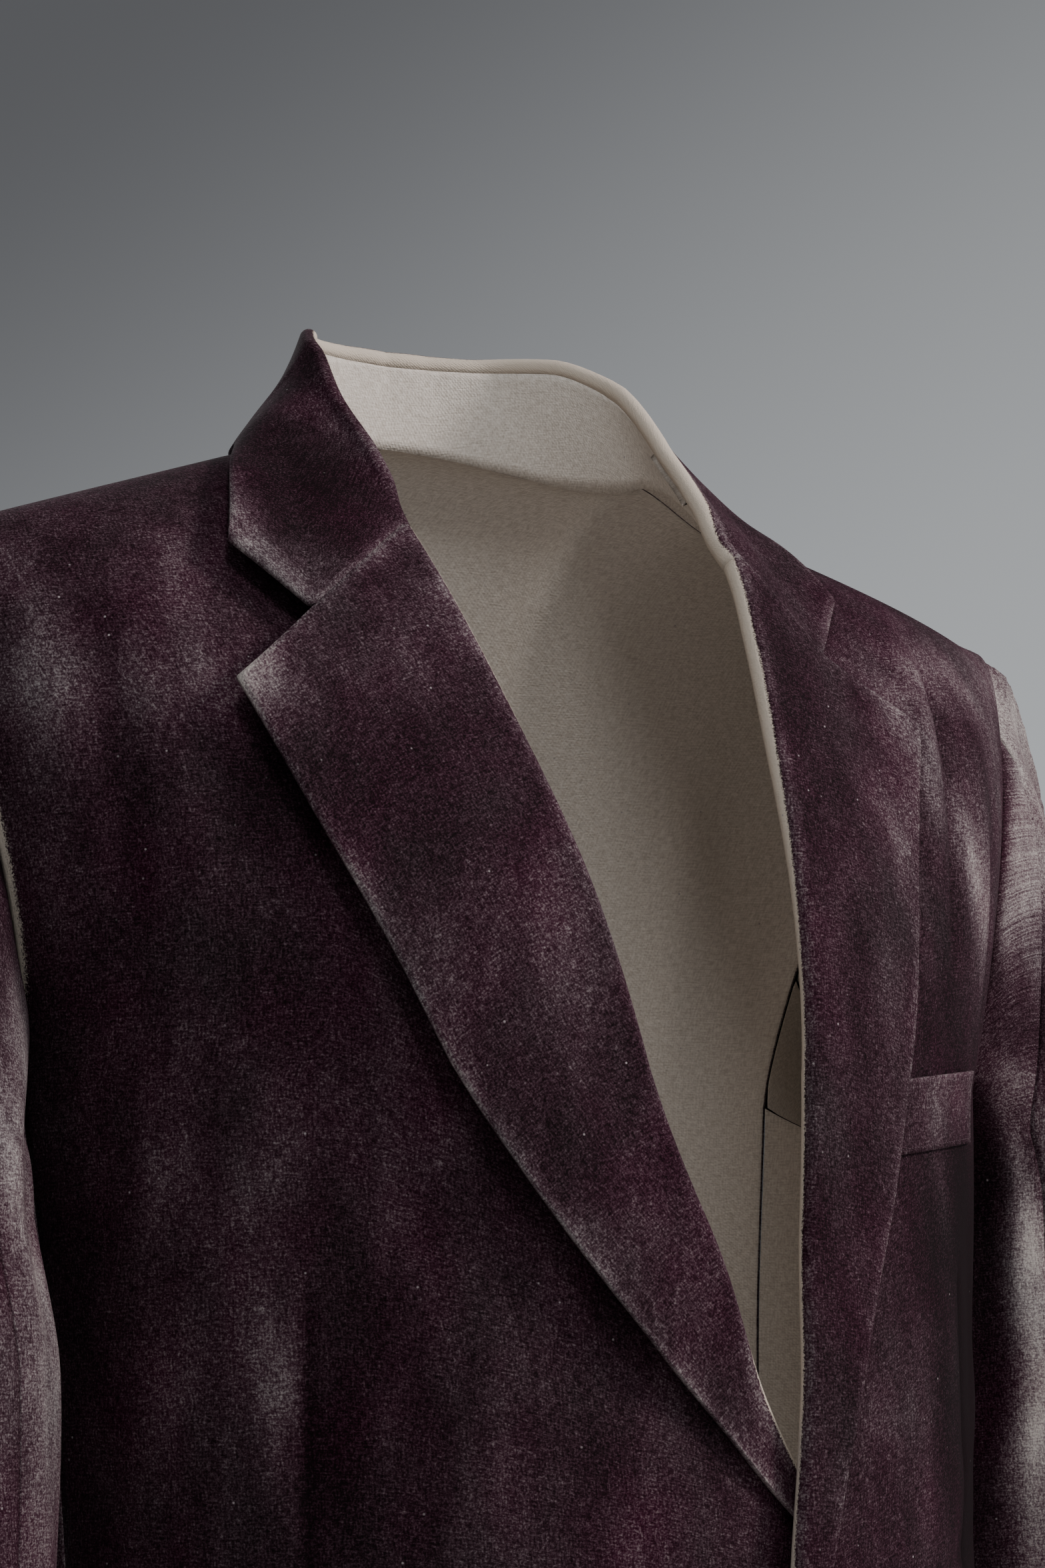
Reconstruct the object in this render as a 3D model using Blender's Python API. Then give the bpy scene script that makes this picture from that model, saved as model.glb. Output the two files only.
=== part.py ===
"""Single-breasted blazer in the form it takes when worn, one button closed.

Metres, +Z up. The front looks along -Y and the wearer's right is at -X.
The origin lies midway between the two neck points of the shoulder seams.
Every cut piece is a wall of cloth, laid over sections of the worn form.
"""

import math

import bmesh
import bpy
import numpy as np
from mathutils import Vector

MM = 0.001

# cloth and seams
WALL = 1.8 * MM
GAP = 0.3 * MM
ROLL_GAP = 0.7 * MM
RIM = 2.5 * MM
DARK_PLUM = (0.042, 0.021, 0.028, 1.0)
CREAM = (0.69, 0.60, 0.50, 1.0)
HORN = (0.025, 0.014, 0.014, 1.0)

# levels
CHEST = -235 * MM
HEM = -740 * MM
ARMHOLE_DIP = 16 * MM

# shoulders and neck
SHOULDER_HALF = 238 * MM
SHOULDER_DROP = 53 * MM
SHOULDER_SAG = {"right": -1.2 * MM, "left": 6.3 * MM}
NECK_HALF = 76 * MM
NAPE_BACK = 66 * MM
NAPE_RISE = 21 * MM
SAG_START = 0.2
SAG_EASE = 0.5

# girth: level, half width, depth in front, depth behind
GIRTH = (
    (-740 * MM, 203 * MM, 166 * MM, 142 * MM),
    (-620 * MM, 199 * MM, 164 * MM, 143 * MM),
    (-430 * MM, 182 * MM, 155 * MM, 116 * MM),
    (-330 * MM, 187 * MM, 151 * MM, 122 * MM),
    (-235 * MM, 198 * MM, 142 * MM, 130 * MM),
)
FRONT_SQUARENESS = 1.93
BACK_SQUARENESS = 2.15
NECK_FULLNESS = 1.6
SHOULDER_FULLNESS = 2.3
BACK_FULLNESS = 2.2
WIDENING = 1.35
SHOULDER_ROOM = 3 * MM

# seams beside the side body, as shares of the half width
FRONT_SEAM = 0.985
BACK_SEAM = 0.88

# armhole: degrees round the shoulder from its top, distance from the middle
ARMHOLE_FRONT = (
    (0, 238 * MM), (15, 238 * MM), (30, 236 * MM), (45, 228 * MM),
    (60, 216 * MM), (75, 205.5 * MM), (90, 195 * MM),
)
ARMHOLE_BACK = (
    (0, 238 * MM), (20, 233 * MM), (40, 222 * MM), (60, 205 * MM),
    (75, 190 * MM), (90, 174.2 * MM),
)

# neckline, roll line and front edge: level, distance to the own side
EDGE = {
    "right": (
        (-740 * MM, -50 * MM), (-425 * MM, -50 * MM), (-405 * MM, -46.5 * MM),
        (-385 * MM, -37 * MM), (-359 * MM, -20 * MM), (-321 * MM, -2.5 * MM),
        (-249 * MM, 25 * MM), (-170 * MM, 43.5 * MM), (-107 * MM, 59.5 * MM),
        (-47 * MM, 70.5 * MM), (-12 * MM, 75.2 * MM), (0, 76 * MM),
    ),
    "left": (
        (-740 * MM, 12 * MM), (-445 * MM, 12 * MM), (-396 * MM, 19 * MM),
        (-368 * MM, 23.5 * MM), (-320 * MM, 30.5 * MM), (-244 * MM, 42.5 * MM),
        (-177 * MM, 49 * MM), (-121 * MM, 53.5 * MM), (-80 * MM, 61 * MM),
        (-47 * MM, 70 * MM), (-12 * MM, 75 * MM), (0, 76 * MM),
    ),
}
HEM_CORNER = 70 * MM

# lapel: level and distance of its outer edge, from the tip downwards
LAPEL_EDGE = {
    "right": (
        (-400 * MM, -46 * MM), (-372 * MM, -14 * MM), (-350 * MM, 6 * MM),
        (-327 * MM, 28 * MM), (-300 * MM, 50 * MM), (-270 * MM, 70 * MM),
        (-235 * MM, 90 * MM), (-193 * MM, 108.5 * MM), (-150 * MM, 128 * MM),
        (-107 * MM, 145.5 * MM),
    ),
    "left": (
        (-440 * MM, 18 * MM), (-396 * MM, 27.5 * MM), (-342 * MM, 44.5 * MM),
        (-277 * MM, 73.5 * MM), (-225 * MM, 91 * MM), (-171 * MM, 106 * MM),
        (-146 * MM, 114.5 * MM), (-106 * MM, 132 * MM),
    ),
}
GORGE = -47 * MM
# notch corner and collar point: distance to the own side, level
NOTCH = {"right": (115 * MM, -81.5 * MM), "left": (91 * MM, -82.5 * MM)}
COLLAR_POINT = {"right": (136 * MM, -58 * MM), "left": (116 * MM, -58 * MM)}
ROLL_RADIUS = 3.4 * MM
ROLL_RADIUS_END = 1.3 * MM
# levels between which the roll softens, upwards
ROLL_SOFTENS = {"right": (-345 * MM, -290 * MM), "left": (-440 * MM, -380 * MM)}
LAPEL_HEIGHT = 7.5 * MM

# collar: place on the neckline (0 nape, 1 neck point, 2 gorge), fold (out,
# back, up), outer edge (out, degrees round the shoulder), height of the edge
COLLAR = {
    "right": (
        (0.00, 0 * MM, 62 * MM, 56 * MM, 0 * MM, 24, 3 * MM),
        (0.50, 33 * MM, 52 * MM, 55 * MM, 43 * MM, 23, 3 * MM),
        (0.80, 48 * MM, 28 * MM, 50 * MM, 73 * MM, 16, 3 * MM),
        (1.00, 60.5 * MM, 3 * MM, 37.5 * MM, 93 * MM, 6, 3 * MM),
        (1.30, 67 * MM, -24 * MM, 10.5 * MM, 105 * MM, -7, 3.5 * MM),
        (1.65, 68.5 * MM, -54 * MM, -18 * MM, 119 * MM, -18, 6 * MM),
    ),
    "left": (
        (0.00, 0 * MM, 62 * MM, 56 * MM, 0 * MM, 24, 3 * MM),
        (0.50, 33 * MM, 52 * MM, 55 * MM, 43 * MM, 23, 3 * MM),
        (0.80, 53 * MM, 30 * MM, 52 * MM, 73 * MM, 16, 4 * MM),
        (1.00, 65 * MM, 4 * MM, 37 * MM, 94 * MM, 6, 4 * MM),
        (1.30, 66.5 * MM, -26 * MM, 5 * MM, 101 * MM, -7, 3.5 * MM),
        (1.65, 63 * MM, -54 * MM, -24 * MM, 109 * MM, -18, 6 * MM),
    ),
}
COLLAR_RADIUS = 2.2 * MM
GUIDE_REACH = 0.25
STAND_SEAM = 6 * MM
STAND_END = 1.5
FALL_BULGE = 2 * MM
FRONT_BULGE = 6 * MM

# the left front laps over the right one
LAP_CENTRE = 30 * MM
LAP_HALF = 45 * MM
LAP_FADE = 70 * MM
LAP_RAISE = {"right": -3.0 * MM, "left": 4.5 * MM}
LAP_START = (-345 * MM, -285 * MM)
LAP_HANG = (-580 * MM, -470 * MM)
LAP_AT_HEM = 0.4

# sleeve: level, out, back, half width across, half depth
SLEEVE = {
    "right": (
        (-278 * MM, 250.5 * MM, -31 * MM, 48 * MM, 62 * MM),
        (-330 * MM, 245 * MM, -39 * MM, 48 * MM, 60 * MM),
        (-400 * MM, 243.5 * MM, -38 * MM, 46 * MM, 57 * MM),
        (-480 * MM, 243.5 * MM, -41 * MM, 44 * MM, 54 * MM),
        (-570 * MM, 246 * MM, -50 * MM, 41 * MM, 50 * MM),
        (-690 * MM, 250 * MM, -66 * MM, 38 * MM, 46 * MM),
    ),
    "left": (
        (-278 * MM, 250 * MM, 24 * MM, 49 * MM, 63 * MM),
        (-330 * MM, 247 * MM, 19 * MM, 48 * MM, 61 * MM),
        (-400 * MM, 245 * MM, 13 * MM, 46 * MM, 58 * MM),
        (-480 * MM, 245 * MM, 6 * MM, 44 * MM, 55 * MM),
        (-570 * MM, 248 * MM, -8 * MM, 41 * MM, 51 * MM),
        (-690 * MM, 252 * MM, -30 * MM, 38 * MM, 46 * MM),
    ),
}
SLEEVE_HEAD = 26 * MM
SLEEVE_DROP = 105 * MM
# seams of the sleeve, degrees round it from its outer side by way of the front
FRONT_SLEEVE_SEAM = 112
FRONT_SEAM_TOP = 25
SEAM_EASE = 3
# levels between which the rings come square to the bent arm
SLEEVE_LEANS = (-300 * MM, -400 * MM)
# part of the ring, in degrees from the top, that the sleeve head rises over
HEAD_REACH = (100, 125)
HEAD_OUTWARD = 0.6
BACK_SLEEVE_SEAM = 250

# front dart: distance from the middle, top and foot, depth and half width
DART = 132 * MM
DART_TOP = -298 * MM
DART_FOOT = -640 * MM
DART_DEPTH = 1.3 * MM
DART_WIDTH = 7 * MM
DART_FADE = (40 * MM, 60 * MM)

# breast pocket welt on the left front: its ends and levels
WELT_INNER = 52 * MM
WELT_OUTER = 150 * MM
WELT_TOP = (-239 * MM, -229 * MM)
WELT_HEIGHT = 26 * MM
WELT_WALL = 1.4 * MM
WELT_MOUTH = 1.4 * MM

# button
BUTTON_OUT = 30 * MM
BUTTON_LEVEL = -445 * MM
BUTTON_RADIUS = 10 * MM
BUTTON_THICK = 3.4 * MM
BUTTON_HOLE = 1.0 * MM
BUTTON_HOLE_OFFSET = 2.3 * MM

SIDES = {"right": -1, "left": 1}


def clear_scene():
    for item in list(bpy.data.objects):
        bpy.data.objects.remove(item, do_unlink=True)


def table_at(table, where, column=1):
    """Smooth value of a table's column at a place in its first column."""
    rows = sorted(table)
    xs = np.array([row[0] for row in rows], float)
    ys = np.array([row[column] for row in rows], float)
    step = np.diff(xs)
    rate = np.diff(ys) / step
    slope = np.empty_like(ys)
    slope[0], slope[-1] = rate[0], rate[-1]
    same = rate[:-1] * rate[1:] > 0
    mean = 2 * rate[:-1] * rate[1:] / np.where(same, rate[:-1] + rate[1:], 1)
    slope[1:-1] = np.where(same, mean, 0)
    where = np.clip(where, xs[0], xs[-1])
    k = np.clip(np.searchsorted(xs, where) - 1, 0, len(xs) - 2)
    h = step[k]
    t = (where - xs[k]) / h
    keep = 2 * t ** 3 - 3 * t ** 2 + 1
    lean = (t ** 3 - 2 * t ** 2 + t) * h * slope[k]
    reach = 3 * t ** 2 - 2 * t ** 3
    return keep * ys[k] + lean + reach * ys[k + 1] + (t ** 3 - t ** 2) * h * slope[k + 1]


def smooth(low, high, value):
    t = np.clip((value - low) / (high - low), 0, 1)
    return t * t * (3 - 2 * t)


def unit(vector):
    length = np.linalg.norm(vector, axis=-1, keepdims=True)
    return vector / np.maximum(length, 1e-12)


def place(side, out, back, up):
    """Points of a side: distance out from the middle, back and up."""
    out, back, up = np.broadcast_arrays(out, back, up)
    return np.stack([SIDES[side] * out, back, up], -1).astype(float)


def rounding(share, power):
    """Quarter of a rounded square: 1 in the middle, 0 at the side."""
    return (1 - np.clip(np.abs(share), 0, 1) ** power) ** (1 / power)


def ridge(side, out, behind):
    """Back and up of the shoulder line, and behind the neck of the neckline."""
    out = np.abs(out)
    along = (out - NECK_HALF) / (SHOULDER_HALF - NECK_HALF)
    up = -SHOULDER_DROP * along
    ease = 1 - SAG_EASE * smooth(0.85, 1, along)
    up = up - SHOULDER_SAG[side] * smooth(0, SAG_START, along) * ease
    back = np.zeros_like(up)
    if behind:
        inside = np.clip(out / NECK_HALF, 0, 1)
        back = NAPE_BACK * np.sqrt(1 - inside ** 2)
        up = np.where(out < NECK_HALF, NAPE_RISE * (1 - inside ** 2), up)
    return back, up


def lap(side, out, level):
    """How far a front stands out where the two fronts overlap."""
    x = SIDES[side] * out
    reach = 1 - smooth(LAP_HALF, LAP_HALF + LAP_FADE, np.abs(x - LAP_CENTRE))
    start = 1 - smooth(*LAP_START, level)
    hang = LAP_AT_HEM + (1 - LAP_AT_HEM) * smooth(*LAP_HANG, level)
    return LAP_RAISE[side] * reach * start * hang


def dart_dip(out, level):
    above = smooth(DART_TOP, DART_TOP - DART_FADE[0], level)
    below = smooth(DART_FOOT, DART_FOOT + DART_FADE[1], level)
    return DART_DEPTH * above * below * np.exp(-((out - DART) / DART_WIDTH) ** 2)


def front_low(side, out, level):
    half = table_at(GIRTH, level, 1)
    depth = table_at(GIRTH, level, 2)
    back = -depth * rounding(out / half, FRONT_SQUARENESS)
    back = back - lap(side, out, level) + dart_dip(out, level)
    return place(side, out, back, level)


def fullness(out, behind):
    """How round the skin goes over the shoulder, more so at its outer end."""
    if behind:
        return BACK_FULLNESS + 0 * out
    grow = smooth(NECK_HALF, SHOULDER_HALF, np.abs(out))
    return NECK_FULLNESS + (SHOULDER_FULLNESS - NECK_FULLNESS) * grow


def high(side, out, turn):
    """Skin above the chest: -90 chest in front, 0 shoulder line, 90 behind."""
    behind = turn > 0
    power = 2 / fullness(out, behind)
    share = math.cos(math.radians(turn)) ** power
    keep = abs(math.sin(math.radians(turn))) ** power
    ridge_back, ridge_up = ridge(side, out, behind)
    chest_half = table_at(GIRTH, CHEST, 1)
    depth = table_at(GIRTH, CHEST, 3) if behind else -table_at(GIRTH, CHEST, 2)
    widest = SHOULDER_HALF + SHOULDER_ROOM
    half = widest - (widest - chest_half) * (1 - share) ** WIDENING
    squareness = BACK_SQUARENESS if behind else FRONT_SQUARENESS
    chest_back = depth * rounding(out / half, squareness)
    back = ridge_back + (chest_back - ridge_back) * keep
    up = CHEST + (ridge_up - CHEST) * share
    return place(side, out, back, up)


def turn_at(side, out, level):
    """Turn of the front skin at a distance out and a level."""
    up = ridge(side, out, False)[1]
    share = np.clip((level - CHEST) / (up - CHEST), 0, 1)
    return -math.degrees(math.acos(share ** (fullness(out, False) / 2)))


def front_at(side, out, level):
    if level <= CHEST:
        return front_low(side, out, level)
    return high(side, out, turn_at(side, out, level))


def front_frame(side, out, level):
    """Point of the front's outer face and its outward normal."""
    step = 0.5 * MM
    point = front_at(side, out, level)
    across = front_at(side, out + step, level) - front_at(side, out - step, level)
    upward = front_at(side, out, level + step) - front_at(side, out, level - step)
    return point, unit(np.cross(across, upward) * SIDES[side])


def high_frame(side, out, turn):
    """Point and outward normal of the skin round the shoulder."""
    point = high(side, out, turn)
    nudge = 1.0
    across = high(side, out + 0.5 * MM, turn) - high(side, out - 0.5 * MM, turn)
    if abs(turn) < nudge:
        round_it = high(side, out, nudge) - high(side, out, -nudge)
    else:
        round_it = high(side, out, turn + 0.4) - high(side, out, turn - 0.4)
    return point, unit(np.cross(across, round_it) * SIDES[side])


def drawn_edge(side, level):
    """Neckline, roll line and front edge as one smooth line."""
    out = table_at(EDGE[side], level)
    drop = HEM + HEM_CORNER - level
    if drop > 0:
        out = out + HEM_CORNER - math.sqrt(HEM_CORNER ** 2 - min(drop, HEM_CORNER) ** 2)
    return out


def edge_at_turn(side, turn):
    """Place (out, level) where the drawn edge meets a row above the chest."""
    out = NECK_HALF
    for _ in range(8):
        level = high(side, out, turn)[2]
        out = drawn_edge(side, level)
    return out, level


def edge_line(side):
    """The drawn edge at the rows of the front: level, out."""
    low = [(level, drawn_edge(side, level)) for level in FRONT_LEVELS]
    top = [edge_at_turn(side, turn)[::-1] for turn in FRONT_TURNS]
    return np.array(low + top)


def inner_edge(side, level):
    line = EDGE_LINE[side]
    return np.interp(level, line[:, 0], line[:, 1])


def spread(start, end, count, power=1.0):
    return start + (end - start) * np.linspace(0, 1, count) ** power


def edged(start, end, count, rim=RIM):
    """Even places with one more close to each end, so the seams lie true."""
    inner = np.linspace(start, end, count)
    return np.concatenate([[start, start + rim], inner[1:-1], [end - rim, end]])


BREAK_LEVEL = -430 * MM
FRONT_LEVELS = np.concatenate([
    spread(HEM, HEM + HEM_CORNER, 6),
    spread(HEM + HEM_CORNER, BREAK_LEVEL, 6)[1:],
    spread(BREAK_LEVEL, CHEST, 9)[1:],
])
FRONT_TURNS = np.array([-81, -72, -63, -54, -45, -36, -27, -18, -9, -1.5, 0])
BODY_LEVELS = spread(HEM, CHEST, 13)
BACK_TURNS = -FRONT_TURNS
EDGE_LINE = {side: edge_line(side) for side in SIDES}


def across_front(start, end, count_in=8, count_out=4):
    """Columns of a front: up to the dart, three on it, then to the side."""
    beside = 1.3 * DART_WIDTH
    dart = min(max(DART, start + 60 * MM), end - 20 * MM)
    return np.concatenate([
        edged(start, dart - beside, count_in)[:-2],
        [dart - beside, dart],
        edged(dart + beside, end, count_out)[:1],
        edged(dart + beside, end, count_out)[2:],
    ])


def front_panel(side):
    rows = []
    for level in FRONT_LEVELS:
        end = FRONT_SEAM * table_at(GIRTH, level, 1) - GAP / 2
        outs = across_front(inner_edge(side, level), end)
        rows.append(front_low(side, outs, level))
    for turn in FRONT_TURNS:
        start = edge_at_turn(side, turn)[0]
        outs = across_front(start, table_at(ARMHOLE_FRONT, -turn))
        rows.append(high(side, outs, turn))
    rows[-1][:, 1] -= GAP / 2
    return np.array(rows)


def side_panel(side, columns=6):
    rows = []
    for level in BODY_LEVELS:
        half, front, behind = (table_at(GIRTH, level, k) for k in (1, 2, 3))
        first = math.asin(FRONT_SEAM ** (FRONT_SQUARENESS / 2))
        last = math.pi - math.asin(BACK_SEAM ** (BACK_SQUARENESS / 2))
        angles = edged(first, last, columns, RIM / half)
        ahead = np.cos(angles) > 0
        power = 2 / np.where(ahead, FRONT_SQUARENESS, BACK_SQUARENESS)
        out = half * np.sin(angles) ** power
        back = np.where(ahead, -front, behind) * np.abs(np.cos(angles)) ** power
        row = place(side, out, back, level)
        share = (level - HEM) / (CHEST - HEM)
        row[:, 2] -= ARMHOLE_DIP * np.sin(math.pi * (angles - first) / (last - first)) * share ** 4
        rows.append(row)
    rows = np.array(rows)
    return pull_in(rows, left=GAP / 2, right=GAP / 2)


NECK_MARKS = (0.0, 0.03, 0.18, 0.36, 0.54, 0.72, 0.88, 1.0)


def back_panel(side, columns=11):
    rows = []
    for level in BODY_LEVELS:
        half, behind = table_at(GIRTH, level, 1), table_at(GIRTH, level, 3)
        outs = edged(GAP / 2, BACK_SEAM * half - GAP / 2, columns)
        rows.append(place(side, outs, behind * rounding(outs / half, BACK_SQUARENESS), level))
    for turn in BACK_TURNS:
        end = table_at(ARMHOLE_BACK, turn)
        chest_outs = edged(GAP / 2, end, columns)
        neck = np.sin(np.array(NECK_MARKS) * math.pi / 2) * NECK_HALF
        top_outs = np.concatenate([neck, edged(NECK_HALF, end, columns - 6)[2:]])
        mix = (1 - turn / 90) ** 2
        outs = np.maximum(chest_outs * (1 - mix) + top_outs * mix, GAP / 2)
        rows.append(high(side, outs, max(turn, 0.01)))
    rows[-1][:, 1] += GAP / 2
    return np.array(rows)


def inward(border, beside):
    """Way from a border into its grid, square to the border."""
    along = unit(np.gradient(border, axis=0))
    step = beside - border
    return unit(step - along * (step * along).sum(-1, keepdims=True))


def pull_in(grid, left=0.0, right=0.0, low=0.0, top=0.0):
    """Shorten a grid of points at its borders, along its own faces."""
    grid = grid.copy()
    grid[:, 0] += inward(grid[:, 0], grid[:, 1]) * left
    grid[:, -1] += inward(grid[:, -1], grid[:, -2]) * right
    grid[0] += inward(grid[0], grid[1]) * low
    grid[-1] += inward(grid[-1], grid[-2]) * top
    return grid


def roll_frame(side, level):
    """Edge point of the front, outward normal and the way to the opening."""
    out = inner_edge(side, level)
    point, normal = front_frame(side, out, level)
    step = 4 * MM
    above = front_at(side, drawn_edge(side, level + step), level + step)
    below = front_at(side, drawn_edge(side, level - step), level - step)
    along = unit(above - below)
    way = unit(np.cross(normal, along)) * SIDES[side]
    return point, normal, way


def roll_radius(side, level):
    return ROLL_RADIUS_END + (ROLL_RADIUS - ROLL_RADIUS_END) * smooth(*ROLL_SOFTENS[side], level)


def roll_arc(point, normal, way, radius, count, stand=0.0):
    """Visible face of the roll, from the inside round to the lapel's face."""
    outer = radius + WALL / 2
    centre = point + way * (ROLL_GAP + stand) + normal * (radius - WALL / 2)
    angles = np.linspace(0, math.pi, count)[:, None]
    return centre + outer * (-normal * np.cos(angles) + way * np.sin(angles))


def lapel_path(side, share, count):
    """Places (out, level) across the lapel, from roll to edge."""
    top_edge = LAPEL_EDGE[side][-1]
    low_edge = LAPEL_EDGE[side][0]
    roll_level = GORGE + (low_edge[0] - GORGE) * share
    edge_level = top_edge[0] + (low_edge[0] - top_edge[0]) * share
    roll = np.array([inner_edge(side, roll_level), roll_level])
    edge = np.array([table_at(LAPEL_EDGE[side], edge_level), edge_level])
    steps = np.linspace(0, 1, count)[:, None]
    straight = roll + (edge - roll) * steps
    gorge = np.array([inner_edge(side, GORGE), GORGE])
    tip = np.array([top_edge[1], top_edge[0]])
    notch = np.array(NOTCH[side])
    bend = two_legs(gorge, notch, tip, steps) - (gorge + (tip - gorge) * steps)
    return straight + bend * (1 - smooth(0, 0.25, share)), roll_level


def two_legs(start, corner, end, steps):
    """Places along two straight legs that meet at a corner."""
    first = np.linalg.norm(corner - start)
    turn = first / (first + np.linalg.norm(end - corner))
    near = start + (corner - start) * steps / turn
    far = corner + (end - corner) * (steps - turn) / (1 - turn)
    return np.where(steps < turn, near, far)


def leaf_points(side, path, low, high_edge):
    """Face of a leaf over the front, its height from one edge to the other."""
    points = []
    heights = spread(low, high_edge, len(path))
    for (out, level), height in zip(path[1:], heights[1:]):
        point, normal = front_frame(side, out, level)
        points.append(point + normal * height)
    return np.array(points)


def lapel_levels(side):
    """Levels of the lapel's rows: the rows of the front, the gorge, the break."""
    low = LAPEL_EDGE[side][0][0]
    line = EDGE_LINE[side][:, 0]
    levels = [level for level in line if low + 4 * MM < level < GORGE - 4 * MM]
    return np.array([GORGE, GORGE - RIM] + levels[::-1] + [low])


def lapel(side, leaf=10, arc=6):
    grid = []
    levels = lapel_levels(side)
    for share in (levels - levels[0]) / (levels[-1] - levels[0]):
        path, level = lapel_path(side, share, leaf)
        point, normal, way = roll_frame(side, level)
        radius = roll_radius(side, level)
        low = 2 * radius
        edge = low + (LAPEL_HEIGHT - 2 * ROLL_RADIUS)
        turned = roll_arc(point, normal, way, radius, arc)
        grid.append(np.concatenate([turned, leaf_points(side, path, low, edge)]))
    return pull_in(np.array(grid), low=GAP)


def neckline(side, mark):
    """Edge point of the body along the neckline, with its outward normal."""
    if mark <= 1:
        out = NECK_HALF * math.sin(mark * math.pi / 2)
        back, up = ridge(side, out, True)
        return place(side, out, back, up)
    level = GORGE * (mark - 1)
    return front_at(side, inner_edge(side, min(level, -0.3 * MM)), min(level, -0.3 * MM))


def guide_base(side, mark):
    """Mean of the neckline near a mark, for a stand that leans without a kink."""
    reach = min(GUIDE_REACH, mark, 2 - mark)
    return np.mean([neckline(side, mark + reach * k / 3) for k in range(-3, 4)], axis=0)


def collar_row(side, mark):
    table = COLLAR[side]
    point, normal, way = roll_frame(side, GORGE)
    crest = point + way * (ROLL_GAP + ROLL_RADIUS + WALL / 2)
    crest = crest + normal * (ROLL_RADIUS - WALL / 2)
    tip = COLLAR_POINT[side]
    turn = turn_at(side, *tip)
    last = (2.0, SIDES[side] * crest[0], crest[1], crest[2], tip[0], turn, LAPEL_HEIGHT)
    return [table_at(table + (last,), mark, column) for column in range(1, 7)]


def bezier(start, leaving, landing, end, steps):
    rest = 1 - steps
    near = start * rest ** 3 + 3 * leaving * steps * rest ** 2
    return near + 3 * landing * steps ** 2 * rest + end * steps ** 3


def collar_station(side, mark, leaf, arc, stand):
    """One row of the collar: up the stand, round the fold, down the fall."""
    out, back, up, edge_out, edge_turn, edge_height = collar_row(side, mark)
    base = neckline(side, mark)
    fold = place(side, out, back, up)
    around = []
    for nudge in (-0.02, 0.02):
        row = collar_row(side, min(max(mark + nudge, 0), 2))
        around.append(place(side, row[0], row[1], row[2]))
    along = unit(around[1] - around[0])
    if mark <= 0.02:
        along = np.array([SIDES[side], 0.0, 0.0])
    rise = fold - base
    lean = fold - guide_base(side, mark)
    way = unit(lean - along * np.dot(lean, along))
    normal = unit(np.cross(way, along)) * SIDES[side]
    at_gorge = smooth(1.6, 1.95, mark)
    if at_gorge > 0:
        normal_g, way_g = roll_frame(side, GORGE * (mark - 1))[1:]
        way = unit(way * (1 - at_gorge) + way_g * at_gorge)
        normal = unit(normal * (1 - at_gorge) + normal_g * at_gorge)
    radius = COLLAR_RADIUS + (ROLL_RADIUS - COLLAR_RADIUS) * smooth(1.3, 1.95, mark)
    height = max(np.dot(rise, way) - radius - WALL / 2 - ROLL_GAP, 0)
    below = fold - way * np.dot(rise, way) - normal * np.dot(rise, normal)
    arc_points = roll_arc(below, normal, way, radius, arc, height)
    foot = base - normal * WALL + way * ROLL_GAP
    up_steps = np.linspace(0, 1, stand)[:-1, None]
    stand_points = foot + (arc_points[0] - foot) * up_steps
    edge, edge_normal = high_frame(side, edge_out, edge_turn)
    edge = edge + edge_normal * edge_height
    start = arc_points[-1]
    length = np.linalg.norm(edge - start)
    ahead = smooth(0.9, 1.35, mark)
    leaving = start - way * length * (0.33 - 0.2 * ahead)
    bulge = FALL_BULGE + FRONT_BULGE * ahead
    landing = edge + unit(start - edge) * length * 0.33 + edge_normal * bulge * (1 - at_gorge)
    steps = np.linspace(0, 1, leaf)[1:, None]
    fall = bezier(start, leaving, landing, edge, steps)
    return stand_points, arc_points, fall


def gorge_bend(side, leaf):
    """Last row of the fall: along the gorge, then the collar's end."""
    gorge = np.array([inner_edge(side, GORGE), GORGE])
    steps = np.linspace(0, 1, leaf)[:, None]
    path = two_legs(gorge, np.array(NOTCH[side]), np.array(COLLAR_POINT[side]), steps)
    return leaf_points(side, path, 2 * ROLL_RADIUS, LAPEL_HEIGHT)


def collar_marks(side):
    """Collar rows from the gorge to the nape, at the rows of front and back."""
    levels = EDGE_LINE[side][:, 0]
    ahead = [1 + level / GORGE for level in levels if GORGE < level < -1 * MM]
    marks = [2.0, 1.95] + ahead + list(NECK_MARKS[::-1])
    between = [(marks[k] + marks[k + 1]) / 2 for k in range(1, len(ahead) + 2)]
    return sorted(set(marks + between), reverse=True)


def collar_grids(leaf=10, arc=6, stand=4):
    """Stand and fall, as rows from the right gorge round the nape to the left."""
    stands, falls = [], []
    order = [("right", mark) for mark in collar_marks("right")]
    order = order + [("left", mark) for mark in collar_marks("left")[-2::-1]]
    for side, mark in order:
        low, arc_points, fall = collar_station(side, mark, leaf, arc, stand)
        at_gorge = collar_station(side, 2.0, leaf, arc, stand)[2]
        bend = gorge_bend(side, leaf) - at_gorge
        fall = fall + bend * smooth(1.2, 2.0, mark)
        seam_room = min(np.linalg.norm(arc_points[0] - low[0]), STAND_SEAM)
        down = unit(low[0] - arc_points[0])
        seam = arc_points[0] + down * seam_room * 0.5
        if mark <= STAND_END:
            stands.append(np.concatenate([low, [seam + down * GAP]]))
        falls.append(np.concatenate([[seam], arc_points, fall]))
    return np.array(stands), pull_in(np.array(falls), low=1.5 * GAP, top=1.5 * GAP)


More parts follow.
